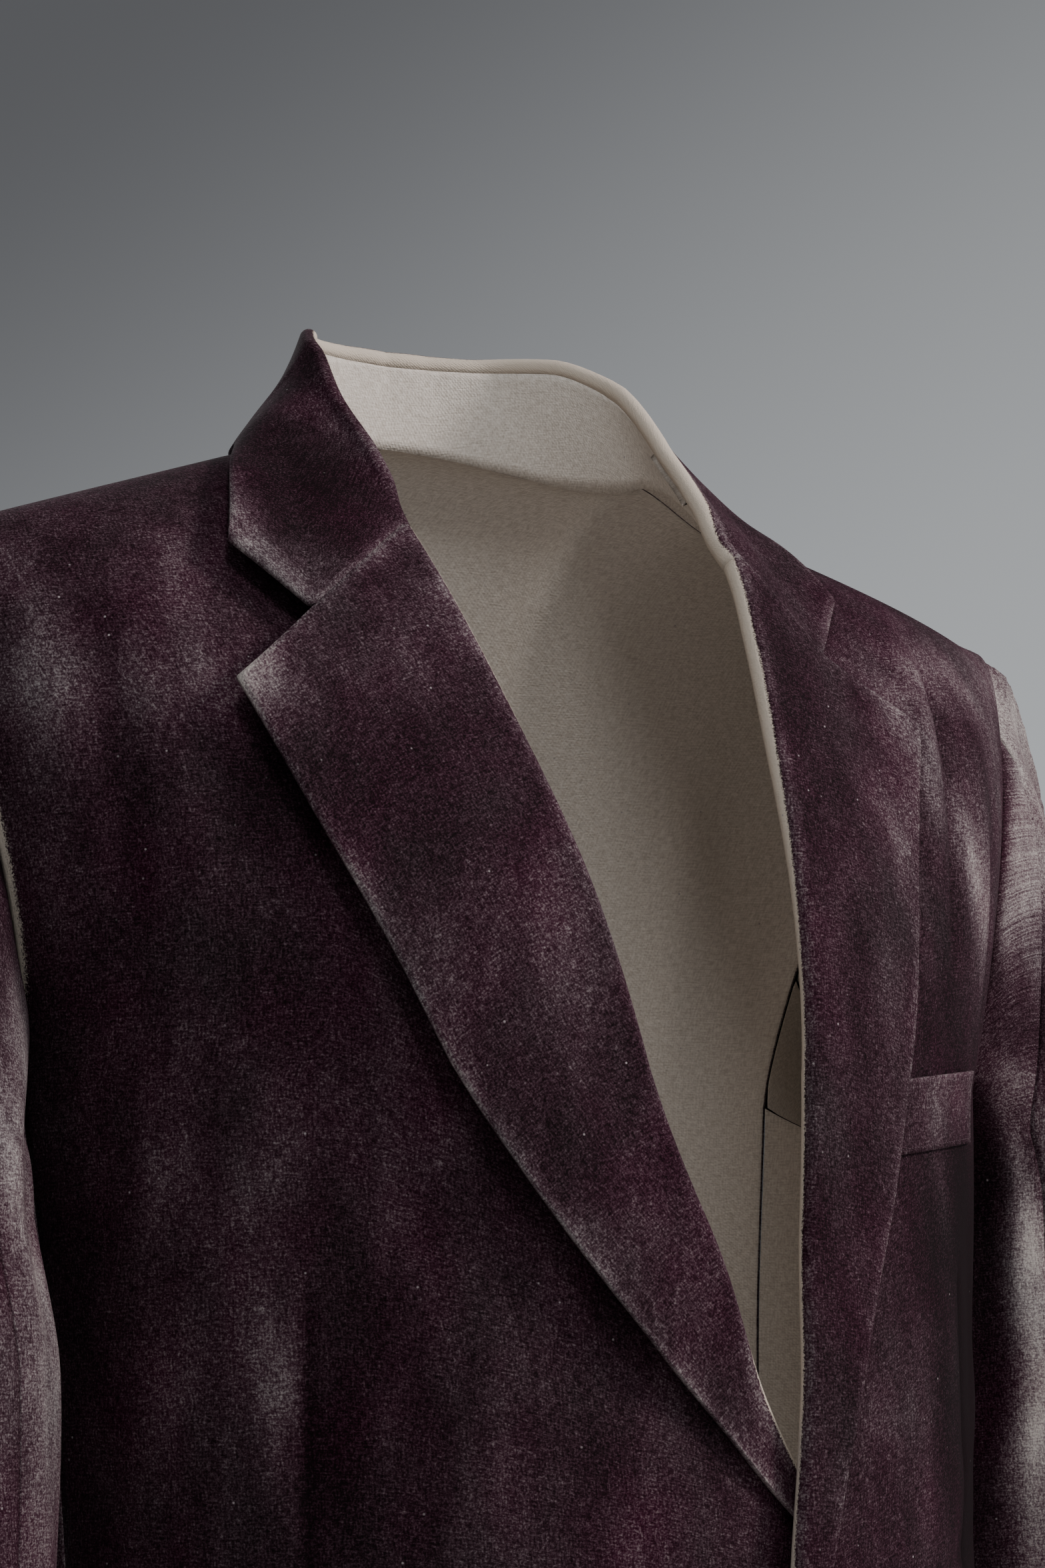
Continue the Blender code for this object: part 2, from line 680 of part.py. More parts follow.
def armhole_loop(side):
    """Armhole from the shoulder point down the front, under, up the back."""
    front = front_panel(side)[:, -1][::-1]
    front = front[:len(FRONT_TURNS) + 1]
    under = side_panel(side)[-1]
    back = back_panel(side)[len(BODY_LEVELS) - 1:, -1]
    loop = [front[0]]
    for point in np.concatenate([front[1:], under, back]):
        if np.linalg.norm(point - loop[-1]) > 1.2 * MM:
            loop.append(point)
    return np.array(loop)


def sleeve_ring(side, level, angles):
    out, back, half, deep = (table_at(SLEEVE[side], level, k) for k in (1, 2, 3, 4))
    step = 5 * MM
    above, below = (table_at(SLEEVE[side], level + way, 2) for way in (step, -step))
    lean = (above - below) / (2 * step) * smooth(*SLEEVE_LEANS, level)
    behind = -deep * np.sin(angles)
    return place(side, out + half * np.cos(angles), back + behind, level - lean * behind)


def cap_frames(side):
    """Armhole points and angles, the way out of the panel and its normal."""
    loop = armhole_loop(side)
    reach = np.concatenate([[0], np.cumsum(np.linalg.norm(np.diff(loop, axis=0), axis=1))])
    angles = 360 * reach / reach[-1]
    middle = np.array([SIDES[side] * 180 * MM, 0, -150 * MM])
    along = unit(np.roll(loop, -1, 0) - np.roll(loop, 1, 0))
    along[0] = along[-1] = np.array([0.0, -1.0, 0.0])
    spoke = unit(loop - middle)
    rising = 1 - smooth(*HEAD_REACH, np.minimum(angles, 360 - angles))
    across = np.tile([SIDES[side] * HEAD_OUTWARD, 0.0, 0.0], (len(loop), 1))
    outward = unit(across + np.stack([0 * rising, spoke[:, 1], spoke[:, 2] * rising], -1))
    shoulder_slope = [SIDES[side] * SHOULDER_DROP, 0.0, SHOULDER_HALF - NECK_HALF]
    outward[0] = outward[-1] = unit(np.array(shoulder_slope))
    leave = unit(np.cross(outward, along) * SIDES[side])
    return loop, angles, leave, outward


def cap_row(side, frames, angles, places, share):
    """Ring of the sleeve head: armhole places in degrees, ring angles."""
    loop, loop_angles, leave, outward = frames

    def pick(values):
        return np.stack([np.interp(places, loop_angles, values[:, k]) for k in range(3)], -1)

    start, leave, outward = pick(loop), unit(pick(leave)), unit(pick(outward))
    ring = sleeve_ring(side, SLEEVE[side][0][0], np.radians(angles))
    straight = unit(ring - start)
    top = np.clip(np.cos(np.radians(places)), 0, 1)[:, None] ** 0.7
    inward = np.minimum((straight * outward).sum(-1, keepdims=True), 0)
    gentle = unit(straight - outward * inward)
    head = unit(leave * top + gentle * (1 - top))
    facing_in = unit(outward - head * (outward * head).sum(-1, keepdims=True))
    lean = np.clip((facing_in * leave).sum(-1, keepdims=True), 0, 1)
    over = 1 - smooth(-0.2, 0.3, (head * leave).sum(-1, keepdims=True))
    start = start + leave * (3 * GAP + WALL * lean) * np.minimum(1, 2 - 2 * over)
    start = start + outward * (WALL + 3 * GAP) * np.minimum(1, 2 * over)
    control = start + head * SLEEVE_HEAD * (0.45 + 0.55 * top)
    drop = np.array([0.0, 0.0, 1.0]) * SLEEVE_DROP * (0.35 + 0.65 * top)
    return bezier(start, control, ring + drop, ring, share)


def seam_angle(share):
    """Front seam of the sleeve, from the armhole down to the first full ring."""
    return FRONT_SEAM_TOP + (FRONT_SLEEVE_SEAM - FRONT_SEAM_TOP) * smooth(0, 0.75, share)


def sleeve_columns(first, last, marks):
    """Armhole places of a piece's columns between its two seams."""
    low, top = min(first, last), max(first, last)
    places = np.concatenate([marks - 360, marks, marks + 360])
    rim = 2.0
    inside = places[(places > low + 2 * rim) & (places < top - 2 * rim)]
    return np.unique(np.concatenate([[low, low + rim], inside, [top - rim, top]]))


CAP_SHARES = (0, 0.03, 0.12, 0.24, 0.36, 0.5, 0.64, 0.78, 0.9, 1)


def sleeve_grid(side, piece, arm_rows=11):
    """Rows down one piece of the sleeve, from the armhole to the cuff."""
    frames = cap_frames(side)
    edge = math.degrees(GAP / 2 / (50 * MM))
    back_seam = BACK_SLEEVE_SEAM - 360 + edge if piece == "top" else BACK_SLEEVE_SEAM - edge
    toward = -1 if piece == "top" else 1
    start_seam = FRONT_SEAM_TOP + toward * SEAM_EASE * edge
    columns = sleeve_columns(back_seam, start_seam, frames[1][:-1])
    along = (columns - back_seam) / (start_seam - back_seam)
    order = np.argsort(along)[::-1]
    columns, along = columns[order], along[order]

    def ring_angles(share):
        ease = 1 + (SEAM_EASE - 1) * (1 - smooth(0.5, 0.9, share))
        return back_seam + along * (seam_angle(share) + toward * ease * edge - back_seam)

    rows = []
    for share in CAP_SHARES:
        angles = ring_angles(share)
        rows.append(cap_row(side, frames, angles, np.mod(angles, 360), share))
    for level in spread(SLEEVE[side][0][0], SLEEVE[side][-1][0], arm_rows)[1:]:
        rows.append(sleeve_ring(side, level, np.radians(ring_angles(1.0))))
    return np.array(rows)


def welt():
    """Strip on the left front, open along its top."""
    rows = []
    for up in np.linspace(0, 1, 4):
        row = []
        for share in np.linspace(0, 1, 9):
            out = WELT_INNER + (WELT_OUTER - WELT_INNER) * share
            top = WELT_TOP[0] + (WELT_TOP[1] - WELT_TOP[0]) * share
            level = top - WELT_HEIGHT * (1 - up)
            point, normal = front_frame("left", out, level)
            row.append(point + normal * (GAP + WELT_WALL + WELT_MOUTH * up ** 2))
        rows.append(row)
    return np.array(rows)


def material(name, colour, roughness):
    item = bpy.data.materials.new(name)
    item.use_nodes = True
    shader = item.node_tree.nodes["Principled BSDF"]
    shader.inputs["Base Color"].default_value = colour
    shader.inputs["Roughness"].default_value = roughness
    shader.inputs["Metallic"].default_value = 0.0
    return item


def wall_of(name, grid, colour, thickness=WALL, roughness=0.85):
    """A wall of cloth: the grid is its outer face, the wall lies inside."""
    mesh = bmesh.new()
    verts = [[mesh.verts.new(point) for point in row] for row in grid]
    for low, up in zip(verts[:-1], verts[1:]):
        for k in range(len(low) - 1):
            mesh.faces.new((low[k], low[k + 1], up[k + 1], up[k]))
    data = bpy.data.meshes.new(name)
    mesh.to_mesh(data)
    mesh.free()
    item = bpy.data.objects.new(name, data)
    bpy.context.scene.collection.objects.link(item)
    data.materials.append(material(name + "_cloth", colour, roughness))
    wall = item.modifiers.new("wall", "SOLIDIFY")
    wall.thickness = thickness
    wall.offset = -1.0
    wall.use_even_offset = False
    return item


def facing(grid, side):
    """Order of the rows that makes the outer face look outwards."""
    return grid if side == "left" else grid[:, ::-1]


def make_body():
    for side in SIDES:
        wall_of("front_" + side, facing(front_panel(side), side), DARK_PLUM)
        wall_of("side_body_" + side, facing(side_panel(side), side), DARK_PLUM)
        wall_of("back_" + side, facing(back_panel(side), side)[:, ::-1], DARK_PLUM)


def make_lapels():
    for side in SIDES:
        wall_of("lapel_" + side, facing(lapel(side), side)[::-1], DARK_PLUM)


def make_collar():
    stand, fall = collar_grids()
    wall_of("collar_stand", stand[:, ::-1], CREAM)
    wall_of("collar_fall", fall[:, ::-1], DARK_PLUM)


def make_sleeves():
    for side in SIDES:
        top = sleeve_grid(side, "top")
        under = sleeve_grid(side, "under")
        wall_of("top_sleeve_" + side, facing(top, side)[::-1], DARK_PLUM)
        wall_of("under_sleeve_" + side, facing(under, side)[::-1], DARK_PLUM)


def make_welt():
    wall_of("breast_welt", welt(), DARK_PLUM, thickness=WELT_WALL)


def make_button():
    """Four-hole button with a raised rim, lying on the left front."""
    point, normal = front_frame("left", BUTTON_OUT, BUTTON_LEVEL)
    profile = (
        (BUTTON_RADIUS - 1.2 * MM, 0), (BUTTON_RADIUS, 1.0 * MM), (BUTTON_RADIUS, 2.6 * MM),
        (BUTTON_RADIUS - 1.0 * MM, BUTTON_THICK), (BUTTON_RADIUS - 2.6 * MM, 2.5 * MM), (0, 2.3 * MM),
    )
    mesh = bmesh.new()
    loops = []
    count = 32
    for radius, up in profile[:-1]:
        loops.append([mesh.verts.new((radius * math.cos(a), radius * math.sin(a), up))
                      for a in np.linspace(0, 2 * math.pi, count, endpoint=False)])
    for low, top in zip(loops[:-1], loops[1:]):
        for k in range(count):
            mesh.faces.new((low[k], low[(k + 1) % count], top[(k + 1) % count], top[k]))
    mesh.faces.new(loops[0][::-1])
    mesh.faces.new(loops[-1])
    data = bpy.data.meshes.new("button")
    mesh.to_mesh(data)
    mesh.free()
    item = bpy.data.objects.new("button", data)
    bpy.context.scene.collection.objects.link(item)
    data.materials.append(material("button_horn", HORN, 0.35))
    item.location = point + normal * GAP
    item.rotation_mode = "QUATERNION"
    item.rotation_quaternion = direction_turn(normal)
    for k in range(4):
        angle = math.radians(45 + 90 * k)
        cut_hole(item, BUTTON_HOLE_OFFSET * math.cos(angle), BUTTON_HOLE_OFFSET * math.sin(angle))


def direction_turn(normal):
    return Vector(normal).to_track_quat("Z", "Y")


def cut_hole(item, across, along):
    """Take a round hole out of a disc, at a place on its face."""
    mesh = bmesh.new()
    size = {"radius1": BUTTON_HOLE, "radius2": BUTTON_HOLE, "depth": 4 * BUTTON_THICK}
    bmesh.ops.create_cone(mesh, cap_ends=True, segments=10, **size)
    bmesh.ops.translate(mesh, verts=mesh.verts, vec=(across, along, 0))
    data = bpy.data.meshes.new("hole")
    mesh.to_mesh(data)
    mesh.free()
    cutter = bpy.data.objects.new("hole", data)
    bpy.context.scene.collection.objects.link(cutter)
    cutter.location = item.location
    cutter.rotation_mode = "QUATERNION"
    cutter.rotation_quaternion = item.rotation_quaternion
    cutter.hide_render = True
    hole = item.modifiers.new("hole", "BOOLEAN")
    hole.object = cutter
    hole.operation = "DIFFERENCE"
    hole.solver = "EXACT"


def main():
    clear_scene()
    make_body()
    make_lapels()
    make_collar()
    make_sleeves()
    make_welt()
    make_button()


main()
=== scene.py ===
"""Single-breasted blazer in its worn form, in plum pigment-dyed cotton and linen.

Metres, +Z up. The front looks along -Y and the wearer's right is at -X.
Every cloth piece is a thin shell on the form of its solid, with its creases,
sunk seams, faded places and painted light and shade laid on from the tables below.
"""

import math

import bmesh
import bpy
import numpy as np
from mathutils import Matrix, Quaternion, Vector


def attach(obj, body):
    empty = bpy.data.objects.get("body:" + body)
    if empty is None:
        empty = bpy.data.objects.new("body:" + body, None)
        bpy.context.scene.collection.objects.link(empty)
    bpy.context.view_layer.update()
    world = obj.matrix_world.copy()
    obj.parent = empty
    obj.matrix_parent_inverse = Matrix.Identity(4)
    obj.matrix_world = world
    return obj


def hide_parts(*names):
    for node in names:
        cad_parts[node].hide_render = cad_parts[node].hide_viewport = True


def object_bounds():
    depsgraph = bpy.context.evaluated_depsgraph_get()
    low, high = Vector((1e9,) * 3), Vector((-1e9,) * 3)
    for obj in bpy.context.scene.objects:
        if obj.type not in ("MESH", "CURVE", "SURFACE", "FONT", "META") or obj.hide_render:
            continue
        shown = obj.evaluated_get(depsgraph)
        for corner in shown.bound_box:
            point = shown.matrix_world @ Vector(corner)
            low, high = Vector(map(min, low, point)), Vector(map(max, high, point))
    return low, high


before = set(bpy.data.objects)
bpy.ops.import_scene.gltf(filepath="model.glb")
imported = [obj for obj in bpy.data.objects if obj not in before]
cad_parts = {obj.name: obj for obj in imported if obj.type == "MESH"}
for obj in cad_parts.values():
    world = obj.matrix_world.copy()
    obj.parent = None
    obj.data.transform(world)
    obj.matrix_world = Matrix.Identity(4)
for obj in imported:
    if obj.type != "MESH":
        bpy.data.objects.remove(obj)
cad_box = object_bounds()

MM = 0.001


def in_mm(*rows, plain=()):
    """Rows given in millimetres; the columns named plain stay as they are."""
    return tuple(tuple(value if column in plain else value * MM
                       for column, value in enumerate(row)) for row in rows)


# cloth and seams: the dressed pieces close the seams that the solids leave open
WALL = 1.8 * MM
GAP = 0.05 * MM
ROLL_GAP = 0.1 * MM
FALL_GAP = 1.5 * GAP
STAND_ALLOWANCE = 3 * MM
RIM = 2.5 * MM
SEAM_RIM = 1.2 * MM

# levels of the chest and the hem, and how the side body dips at the armhole
CHEST = -235 * MM
HEM = -740 * MM
ARMHOLE_DIP = 16 * MM
DIP_POWER = 4

# shoulders and neck
SHOULDER_HALF = 238 * MM
SHOULDER_DROP = 53 * MM
NECK_HALF = 76 * MM
NAPE_BACK = 66 * MM
NAPE_RISE = 21 * MM
# sag of each shoulder line, with the shares of its length where the sag is full
# and where it starts to ease, and how much of it eases
SHOULDER_SAG = {"right": -1.2 * MM, "left": 6.3 * MM}
SAG_START = 0.2
SAG_END = 0.85
SAG_EASE = 0.5

# girth: level, half width, depth in front, depth behind
GIRTH = in_mm(
    (-740, 203, 166, 142),
    (-620, 199, 164, 143),
    (-430, 182, 155, 116),
    (-330, 187, 151, 122),
    (-235, 198, 142, 130),
)
# squareness of the body's rings, roundness of the skin over the shoulder by the
# neck, by the sleeve and behind, and how its rings widen above the chest
FRONT_SQUARENESS = 1.93
BACK_SQUARENESS = 2.15
NECK_FULLNESS = 1.6
SHOULDER_FULLNESS = 2.3
BACK_FULLNESS = 2.2
WIDENING = 1.35
SHOULDER_ROOM = 3 * MM

# seams beside the side body, as shares of the half width
FRONT_SEAM = 0.985
BACK_SEAM = 0.88

# armhole: degrees round the shoulder from its top, distance from the middle
ARMHOLE_FRONT = in_mm(
    (0, 238), (15, 238), (30, 236), (45, 228),
    (60, 216), (75, 205.5), (90, 195), plain=(0,),
)
ARMHOLE_BACK = in_mm(
    (0, 238), (20, 233), (40, 222), (60, 205),
    (75, 190), (90, 174.2), plain=(0,),
)

# neckline, roll line and front edge: level, distance to the own side
EDGE = {
    "right": in_mm(
        (-740, -50), (-425, -50), (-405, -46.5),
        (-385, -37), (-359, -20), (-321, -2.5),
        (-249, 25), (-170, 43.5), (-107, 59.5),
        (-47, 70.5), (-12, 75.2), (0, 76),
    ),
    "left": in_mm(
        (-740, 12), (-445, 12), (-396, 19),
        (-368, 23.5), (-320, 30.5), (-244, 42.5),
        (-177, 49), (-121, 53.5), (-80, 61),
        (-47, 70), (-12, 75), (0, 76),
    ),
}
HEM_CORNER = 70 * MM

# lapel: level and distance of its outer edge, from the tip downwards
LAPEL_EDGE = {
    "right": in_mm(
        (-400, -46), (-372, -14), (-350, 6),
        (-327, 28), (-300, 50), (-270, 70),
        (-235, 90), (-193, 108.5), (-150, 128),
        (-107, 145.5),
    ),
    "left": in_mm(
        (-440, 18), (-396, 27.5), (-342, 44.5),
        (-277, 73.5), (-225, 91), (-171, 106),
        (-146, 114.5), (-106, 132),
    ),
}
GORGE = -47 * MM
# a front's neckline starts just below the neck point, and its rows that the
# lapel and the collar take over keep clear of their ends
NECK_LEVEL = -0.3 * MM
NECK_CLEAR = 1 * MM
LAPEL_CLEAR = 4 * MM
# notch corner and collar point: distance to the own side, level
NOTCH = {"right": (115 * MM, -81.5 * MM), "left": (91 * MM, -82.5 * MM)}
COLLAR_POINT = {"right": (136 * MM, -58 * MM), "left": (116 * MM, -58 * MM)}
# share of the lapel's length over which its notch fades into straight rows
NOTCH_FADE = 0.25
ROLL_RADIUS = 3.4 * MM
ROLL_RADIUS_END = 1.3 * MM
# levels between which the roll softens, upwards
ROLL_SOFTENS = {"right": (-345 * MM, -290 * MM), "left": (-440 * MM, -380 * MM)}
LAPEL_HEIGHT = 7.5 * MM

# collar: place on the neckline (0 nape, 1 neck point, 2 gorge), fold (out,
# back, up), outer edge (out, degrees round the shoulder), height of the edge
COLLAR = {
    "right": in_mm(
        (0.00, 0, 62, 56, 0, 24, 3),
        (0.50, 33, 52, 55, 43, 23, 3),
        (0.80, 48, 28, 50, 73, 16, 3),
        (1.00, 60.5, 3, 37.5, 93, 6, 3),
        (1.30, 67, -24, 10.5, 105, -7, 3.5),
        (1.65, 68.5, -54, -18, 119, -18, 6),
        plain=(0, 5),
    ),
    "left": in_mm(
        (0.00, 0, 62, 56, 0, 24, 3),
        (0.50, 33, 52, 55, 43, 23, 3),
        (0.80, 53, 30, 52, 73, 16, 4),
        (1.00, 65, 4, 37, 94, 6, 4),
        (1.30, 66.5, -26, 5, 101, -7, 3.5),
        (1.65, 63, -54, -24, 109, -18, 6),
        plain=(0, 5),
    ),
}
# radius of the collar's fold, and bulge of its fall with what the front adds
COLLAR_RADIUS = 2.2 * MM
FALL_BULGE = 2 * MM
FRONT_BULGE = 6 * MM
# stand: places over which its lean is evened out, the room below the fold in
# whose middle it meets the fall, and the place where it ends
GUIDE_REACH = 0.25
STAND_SEAM = 6 * MM
STAND_END = 1.5

# the left front laps over the right one: middle, half width and fade of the lap,
# how far each front stands out, levels over which that starts and hangs straight
# again, and the share of it that is left at the hem
LAP_CENTRE = 30 * MM
LAP_HALF = 45 * MM
LAP_FADE = 70 * MM
LAP_RAISE = {"right": -3.0 * MM, "left": 4.5 * MM}
LAP_START = (-345 * MM, -285 * MM)
LAP_HANG = (-580 * MM, -470 * MM)
LAP_AT_HEM = 0.4

# sleeve: level, out, back, half width across, half depth
SLEEVE = {
    "right": in_mm(
        (-278, 250.5, -31, 48, 62),
        (-330, 245, -39, 48, 60),
        (-400, 243.5, -38, 46, 57),
        (-480, 243.5, -41, 44, 54),
        (-570, 246, -50, 41, 50),
        (-690, 250, -66, 38, 46),
    ),
    "left": in_mm(
        (-278, 250, 24, 49, 63),
        (-330, 247, 19, 48, 61),
        (-400, 245, 13, 46, 58),
        (-480, 245, 6, 44, 55),
        (-570, 248, -8, 41, 51),
        (-690, 252, -30, 38, 46),
    ),
}
# rise of the sleeve head, how far its first row is tucked under the armhole and
# past it, and the drop that brings it down into the sleeve
SLEEVE_HEAD = 26 * MM
SLEEVE_TUCK = 0.9 * MM
SLEEVE_ALLOWANCE = 1.2 * MM
SLEEVE_DROP = 105 * MM
# share of the head's rise and drop that is left under the arm, and how fast
# both fall off from the top
HEAD_LEAST = 0.45
DROP_LEAST = 0.35
TOP_POWER = 0.7
# middle of the armhole, points round it, and rounds that even out their ways
ARM_OUT = 180 * MM
ARM_LEVEL = -150 * MM
CAP_POINTS = 181
LOOP_ROUNDS = 20
WAY_ROUNDS = 40
# seams of the sleeve, degrees round it from its outer side by way of the front
FRONT_SLEEVE_SEAM = 112
FRONT_SEAM_TOP = 25
# share of the sleeve head in which the front seam swings round, and the wider
# gap of the seams there with the shares between which it closes
SEAM_SWING = 0.75
SEAM_EASE = 3
SEAM_CLOSES = (0.5, 0.9)
# levels between which the rings come square to the bent arm
SLEEVE_LEANS = (-300 * MM, -400 * MM)
# part of the ring, in degrees from the top, that the sleeve head rises over
HEAD_REACH = (100, 125)
HEAD_OUTWARD = 0.6
BACK_SLEEVE_SEAM = 250
SLEEVE_RIM = 2

# front dart: distance from the middle, top and foot, depth and half width
DART = 132 * MM
DART_TOP = -298 * MM
DART_FOOT = -640 * MM
DART_DEPTH = 1.3 * MM
DART_WIDTH = 7 * MM
DART_FADE = (40 * MM, 60 * MM)

# breast pocket welt on the left front: its ends, the level of its top at both,
# its height and wall, and how far its mouth stands off
WELT_INNER = 52 * MM
WELT_OUTER = 150 * MM
WELT_TOP = (-239 * MM, -229 * MM)
WELT_HEIGHT = 26 * MM
WELT_WALL = 1.4 * MM
WELT_MOUTH = 1.4 * MM

# button: distance from the middle and level, width of its four thread holes and
# their distance from its own middle
BUTTON_OUT = 30 * MM
BUTTON_LEVEL = -445 * MM
BUTTON_HOLE = 1.0 * MM
BUTTON_HOLE_OFFSET = 2.3 * MM

SIDES = {"right": -1, "left": 1}


# Curves and steps that the form is made from


def table_at(table, where, column=1):
    """Smooth value of a table's column at a place in its first column."""
    rows = sorted(table)
    xs = np.array([row[0] for row in rows], float)
    ys = np.array([row[column] for row in rows], float)
    step = np.diff(xs)
    rate = np.diff(ys) / step
    slope = np.empty_like(ys)
    slope[0], slope[-1] = rate[0], rate[-1]
    same = rate[:-1] * rate[1:] > 0
    mean = 2 * rate[:-1] * rate[1:] / np.where(same, rate[:-1] + rate[1:], 1)
    slope[1:-1] = np.where(same, mean, 0)
    where = np.clip(where, xs[0], xs[-1])
    k = np.clip(np.searchsorted(xs, where) - 1, 0, len(xs) - 2)
    h = step[k]
    t = (where - xs[k]) / h
    keep = 2 * t ** 3 - 3 * t ** 2 + 1
    lean = (t ** 3 - 2 * t ** 2 + t) * h * slope[k]
    reach = 3 * t ** 2 - 2 * t ** 3
    return keep * ys[k] + lean + reach * ys[k + 1] + (t ** 3 - t ** 2) * h * slope[k + 1]


def smooth(low, high, value):
    """0 below low, 1 above high and a soft step between them."""
    t = np.clip((value - low) / (high - low), 0, 1)
    return t * t * (3 - 2 * t)


def unit(vector):
    """Vectors brought to length one."""
    length = np.linalg.norm(vector, axis=-1, keepdims=True)
    return vector / np.maximum(length, 1e-12)


def place(side, out, back, up):
    """Points of a side: distance out from the middle, back and up."""
    out, back, up = np.broadcast_arrays(out, back, up)
    return np.stack([SIDES[side] * out, back, up], -1).astype(float)


def rounding(share, power):
    """Quarter of a rounded square: 1 in the middle, 0 at the side."""
    return (1 - np.clip(np.abs(share), 0, 1) ** power) ** (1 / power)


# Form of the body, as its solids have it


def ridge(side, out, behind):
    """Back and up of the shoulder line, and behind the neck of the neckline."""
    out = np.abs(out)
    along = (out - NECK_HALF) / (SHOULDER_HALF - NECK_HALF)
    up = -SHOULDER_DROP * along
    ease = 1 - SAG_EASE * smooth(SAG_END, 1, along)
    up = up - SHOULDER_SAG[side] * smooth(0, SAG_START, along) * ease
    back = np.zeros_like(up)
    if behind:
        inside = np.clip(out / NECK_HALF, 0, 1)
        back = NAPE_BACK * np.sqrt(1 - inside ** 2)
        up = np.where(out < NECK_HALF, NAPE_RISE * (1 - inside ** 2), up)
    return back, up


def lap(side, out, level):
    """How far a front stands out where the two fronts overlap."""
    x = SIDES[side] * out
    reach = 1 - smooth(LAP_HALF, LAP_HALF + LAP_FADE, np.abs(x - LAP_CENTRE))
    start = 1 - smooth(*LAP_START, level)
    hang = LAP_AT_HEM + (1 - LAP_AT_HEM) * smooth(*LAP_HANG, level)
    return LAP_RAISE[side] * reach * start * hang


def dart_dip(out, level):
    """How far a front sinks along its waist dart."""
    above = smooth(DART_TOP, DART_TOP - DART_FADE[0], level)
    below = smooth(DART_FOOT, DART_FOOT + DART_FADE[1], level)
    return DART_DEPTH * above * below * np.exp(-((out - DART) / DART_WIDTH) ** 2)


def front_low(side, out, level):
    """Points of a front below the chest."""
    half = table_at(GIRTH, level, 1)
    depth = table_at(GIRTH, level, 2)
    back = -depth * rounding(out / half, FRONT_SQUARENESS)
    back = back - lap(side, out, level) + dart_dip(out, level)
    return place(side, out, back, level)


def fullness(out, behind):
    """How round the skin goes over the shoulder, more so at its outer end."""
    if behind:
        return BACK_FULLNESS + 0 * out
    grow = smooth(NECK_HALF, SHOULDER_HALF, np.abs(out))
    return NECK_FULLNESS + (SHOULDER_FULLNESS - NECK_FULLNESS) * grow


def high(side, out, turn):
    """Skin above the chest: -90 chest in front, 0 shoulder line, 90 behind."""
    behind = turn > 0
    power = 2 / fullness(out, behind)
    share = math.cos(math.radians(turn)) ** power
    keep = abs(math.sin(math.radians(turn))) ** power
    ridge_back, ridge_up = ridge(side, out, behind)
    chest_half = table_at(GIRTH, CHEST, 1)
    depth = table_at(GIRTH, CHEST, 3) if behind else -table_at(GIRTH, CHEST, 2)
    widest = SHOULDER_HALF + SHOULDER_ROOM
    half = widest - (widest - chest_half) * (1 - share) ** WIDENING
    squareness = BACK_SQUARENESS if behind else FRONT_SQUARENESS
    chest_back = depth * rounding(out / half, squareness)
    back = ridge_back + (chest_back - ridge_back) * keep
    up = CHEST + (ridge_up - CHEST) * share
    return place(side, out, back, up)


def turn_at(side, out, level):
    """Turn of the front skin at a distance out and a level."""
    up = ridge(side, out, False)[1]
    share = np.clip((level - CHEST) / (up - CHEST), 0, 1)
    return -math.degrees(math.acos(share ** (fullness(out, False) / 2)))


def front_at(side, out, level):
    """Point of a front's outer face at any level."""
    if level <= CHEST:
        return front_low(side, out, level)
    return high(side, out, turn_at(side, out, level))


# nudges that a normal is worked out from: a distance, and degrees of turn
# beside the shoulder line and away from it
NUDGE = 0.5 * MM
RIDGE_NUDGE = 1.0
TURN_NUDGE = 0.4


def front_frame(side, out, level):
    """Point of the front's outer face and its outward normal."""
    point = front_at(side, out, level)
    across = front_at(side, out + NUDGE, level) - front_at(side, out - NUDGE, level)
    upward = front_at(side, out, level + NUDGE) - front_at(side, out, level - NUDGE)
    return point, unit(np.cross(across, upward) * SIDES[side])


def high_frame(side, out, turn):
    """Point and outward normal of the skin round the shoulder."""
    point = high(side, out, turn)
    across = high(side, out + NUDGE, turn) - high(side, out - NUDGE, turn)
    if abs(turn) < RIDGE_NUDGE:
        round_it = high(side, out, RIDGE_NUDGE) - high(side, out, -RIDGE_NUDGE)
    else:
        round_it = high(side, out, turn + TURN_NUDGE) - high(side, out, turn - TURN_NUDGE)
    return point, unit(np.cross(across, round_it) * SIDES[side])


def drawn_edge(side, level):
    """Neckline, roll line and front edge as one smooth line."""
    out = table_at(EDGE[side], level)
    drop = HEM + HEM_CORNER - level
    if drop > 0:
        out = out + HEM_CORNER - math.sqrt(HEM_CORNER ** 2 - min(drop, HEM_CORNER) ** 2)
    return out


def edge_at_turn(side, turn, rounds=8):
    """Place (out, level) where the drawn edge meets a row above the chest."""
    out = NECK_HALF
    for _ in range(rounds):
        level = high(side, out, turn)[2]
        out = drawn_edge(side, level)
    return out, level


def edge_line(side):
    """The drawn edge at the rows of the front: level, out."""
    low = [(level, drawn_edge(side, level)) for level in FRONT_LEVELS]
    top = [edge_at_turn(side, turn)[::-1] for turn in FRONT_TURNS]
    return np.array(low + top)


def inner_edge(side, level):
    """Distance of a front's drawn edge from the middle, as its rows have it."""
    line = EDGE_LINE[side]
    return np.interp(level, line[:, 0], line[:, 1])


# Columns and rows of the body pieces


def edged(start, end, count, rim):
    """Even places with one more close to each end, so the seams lie true."""
    inner = np.linspace(start, end, count)
    return np.concatenate([[start, start + rim], inner[1:-1], [end - rim, end]])


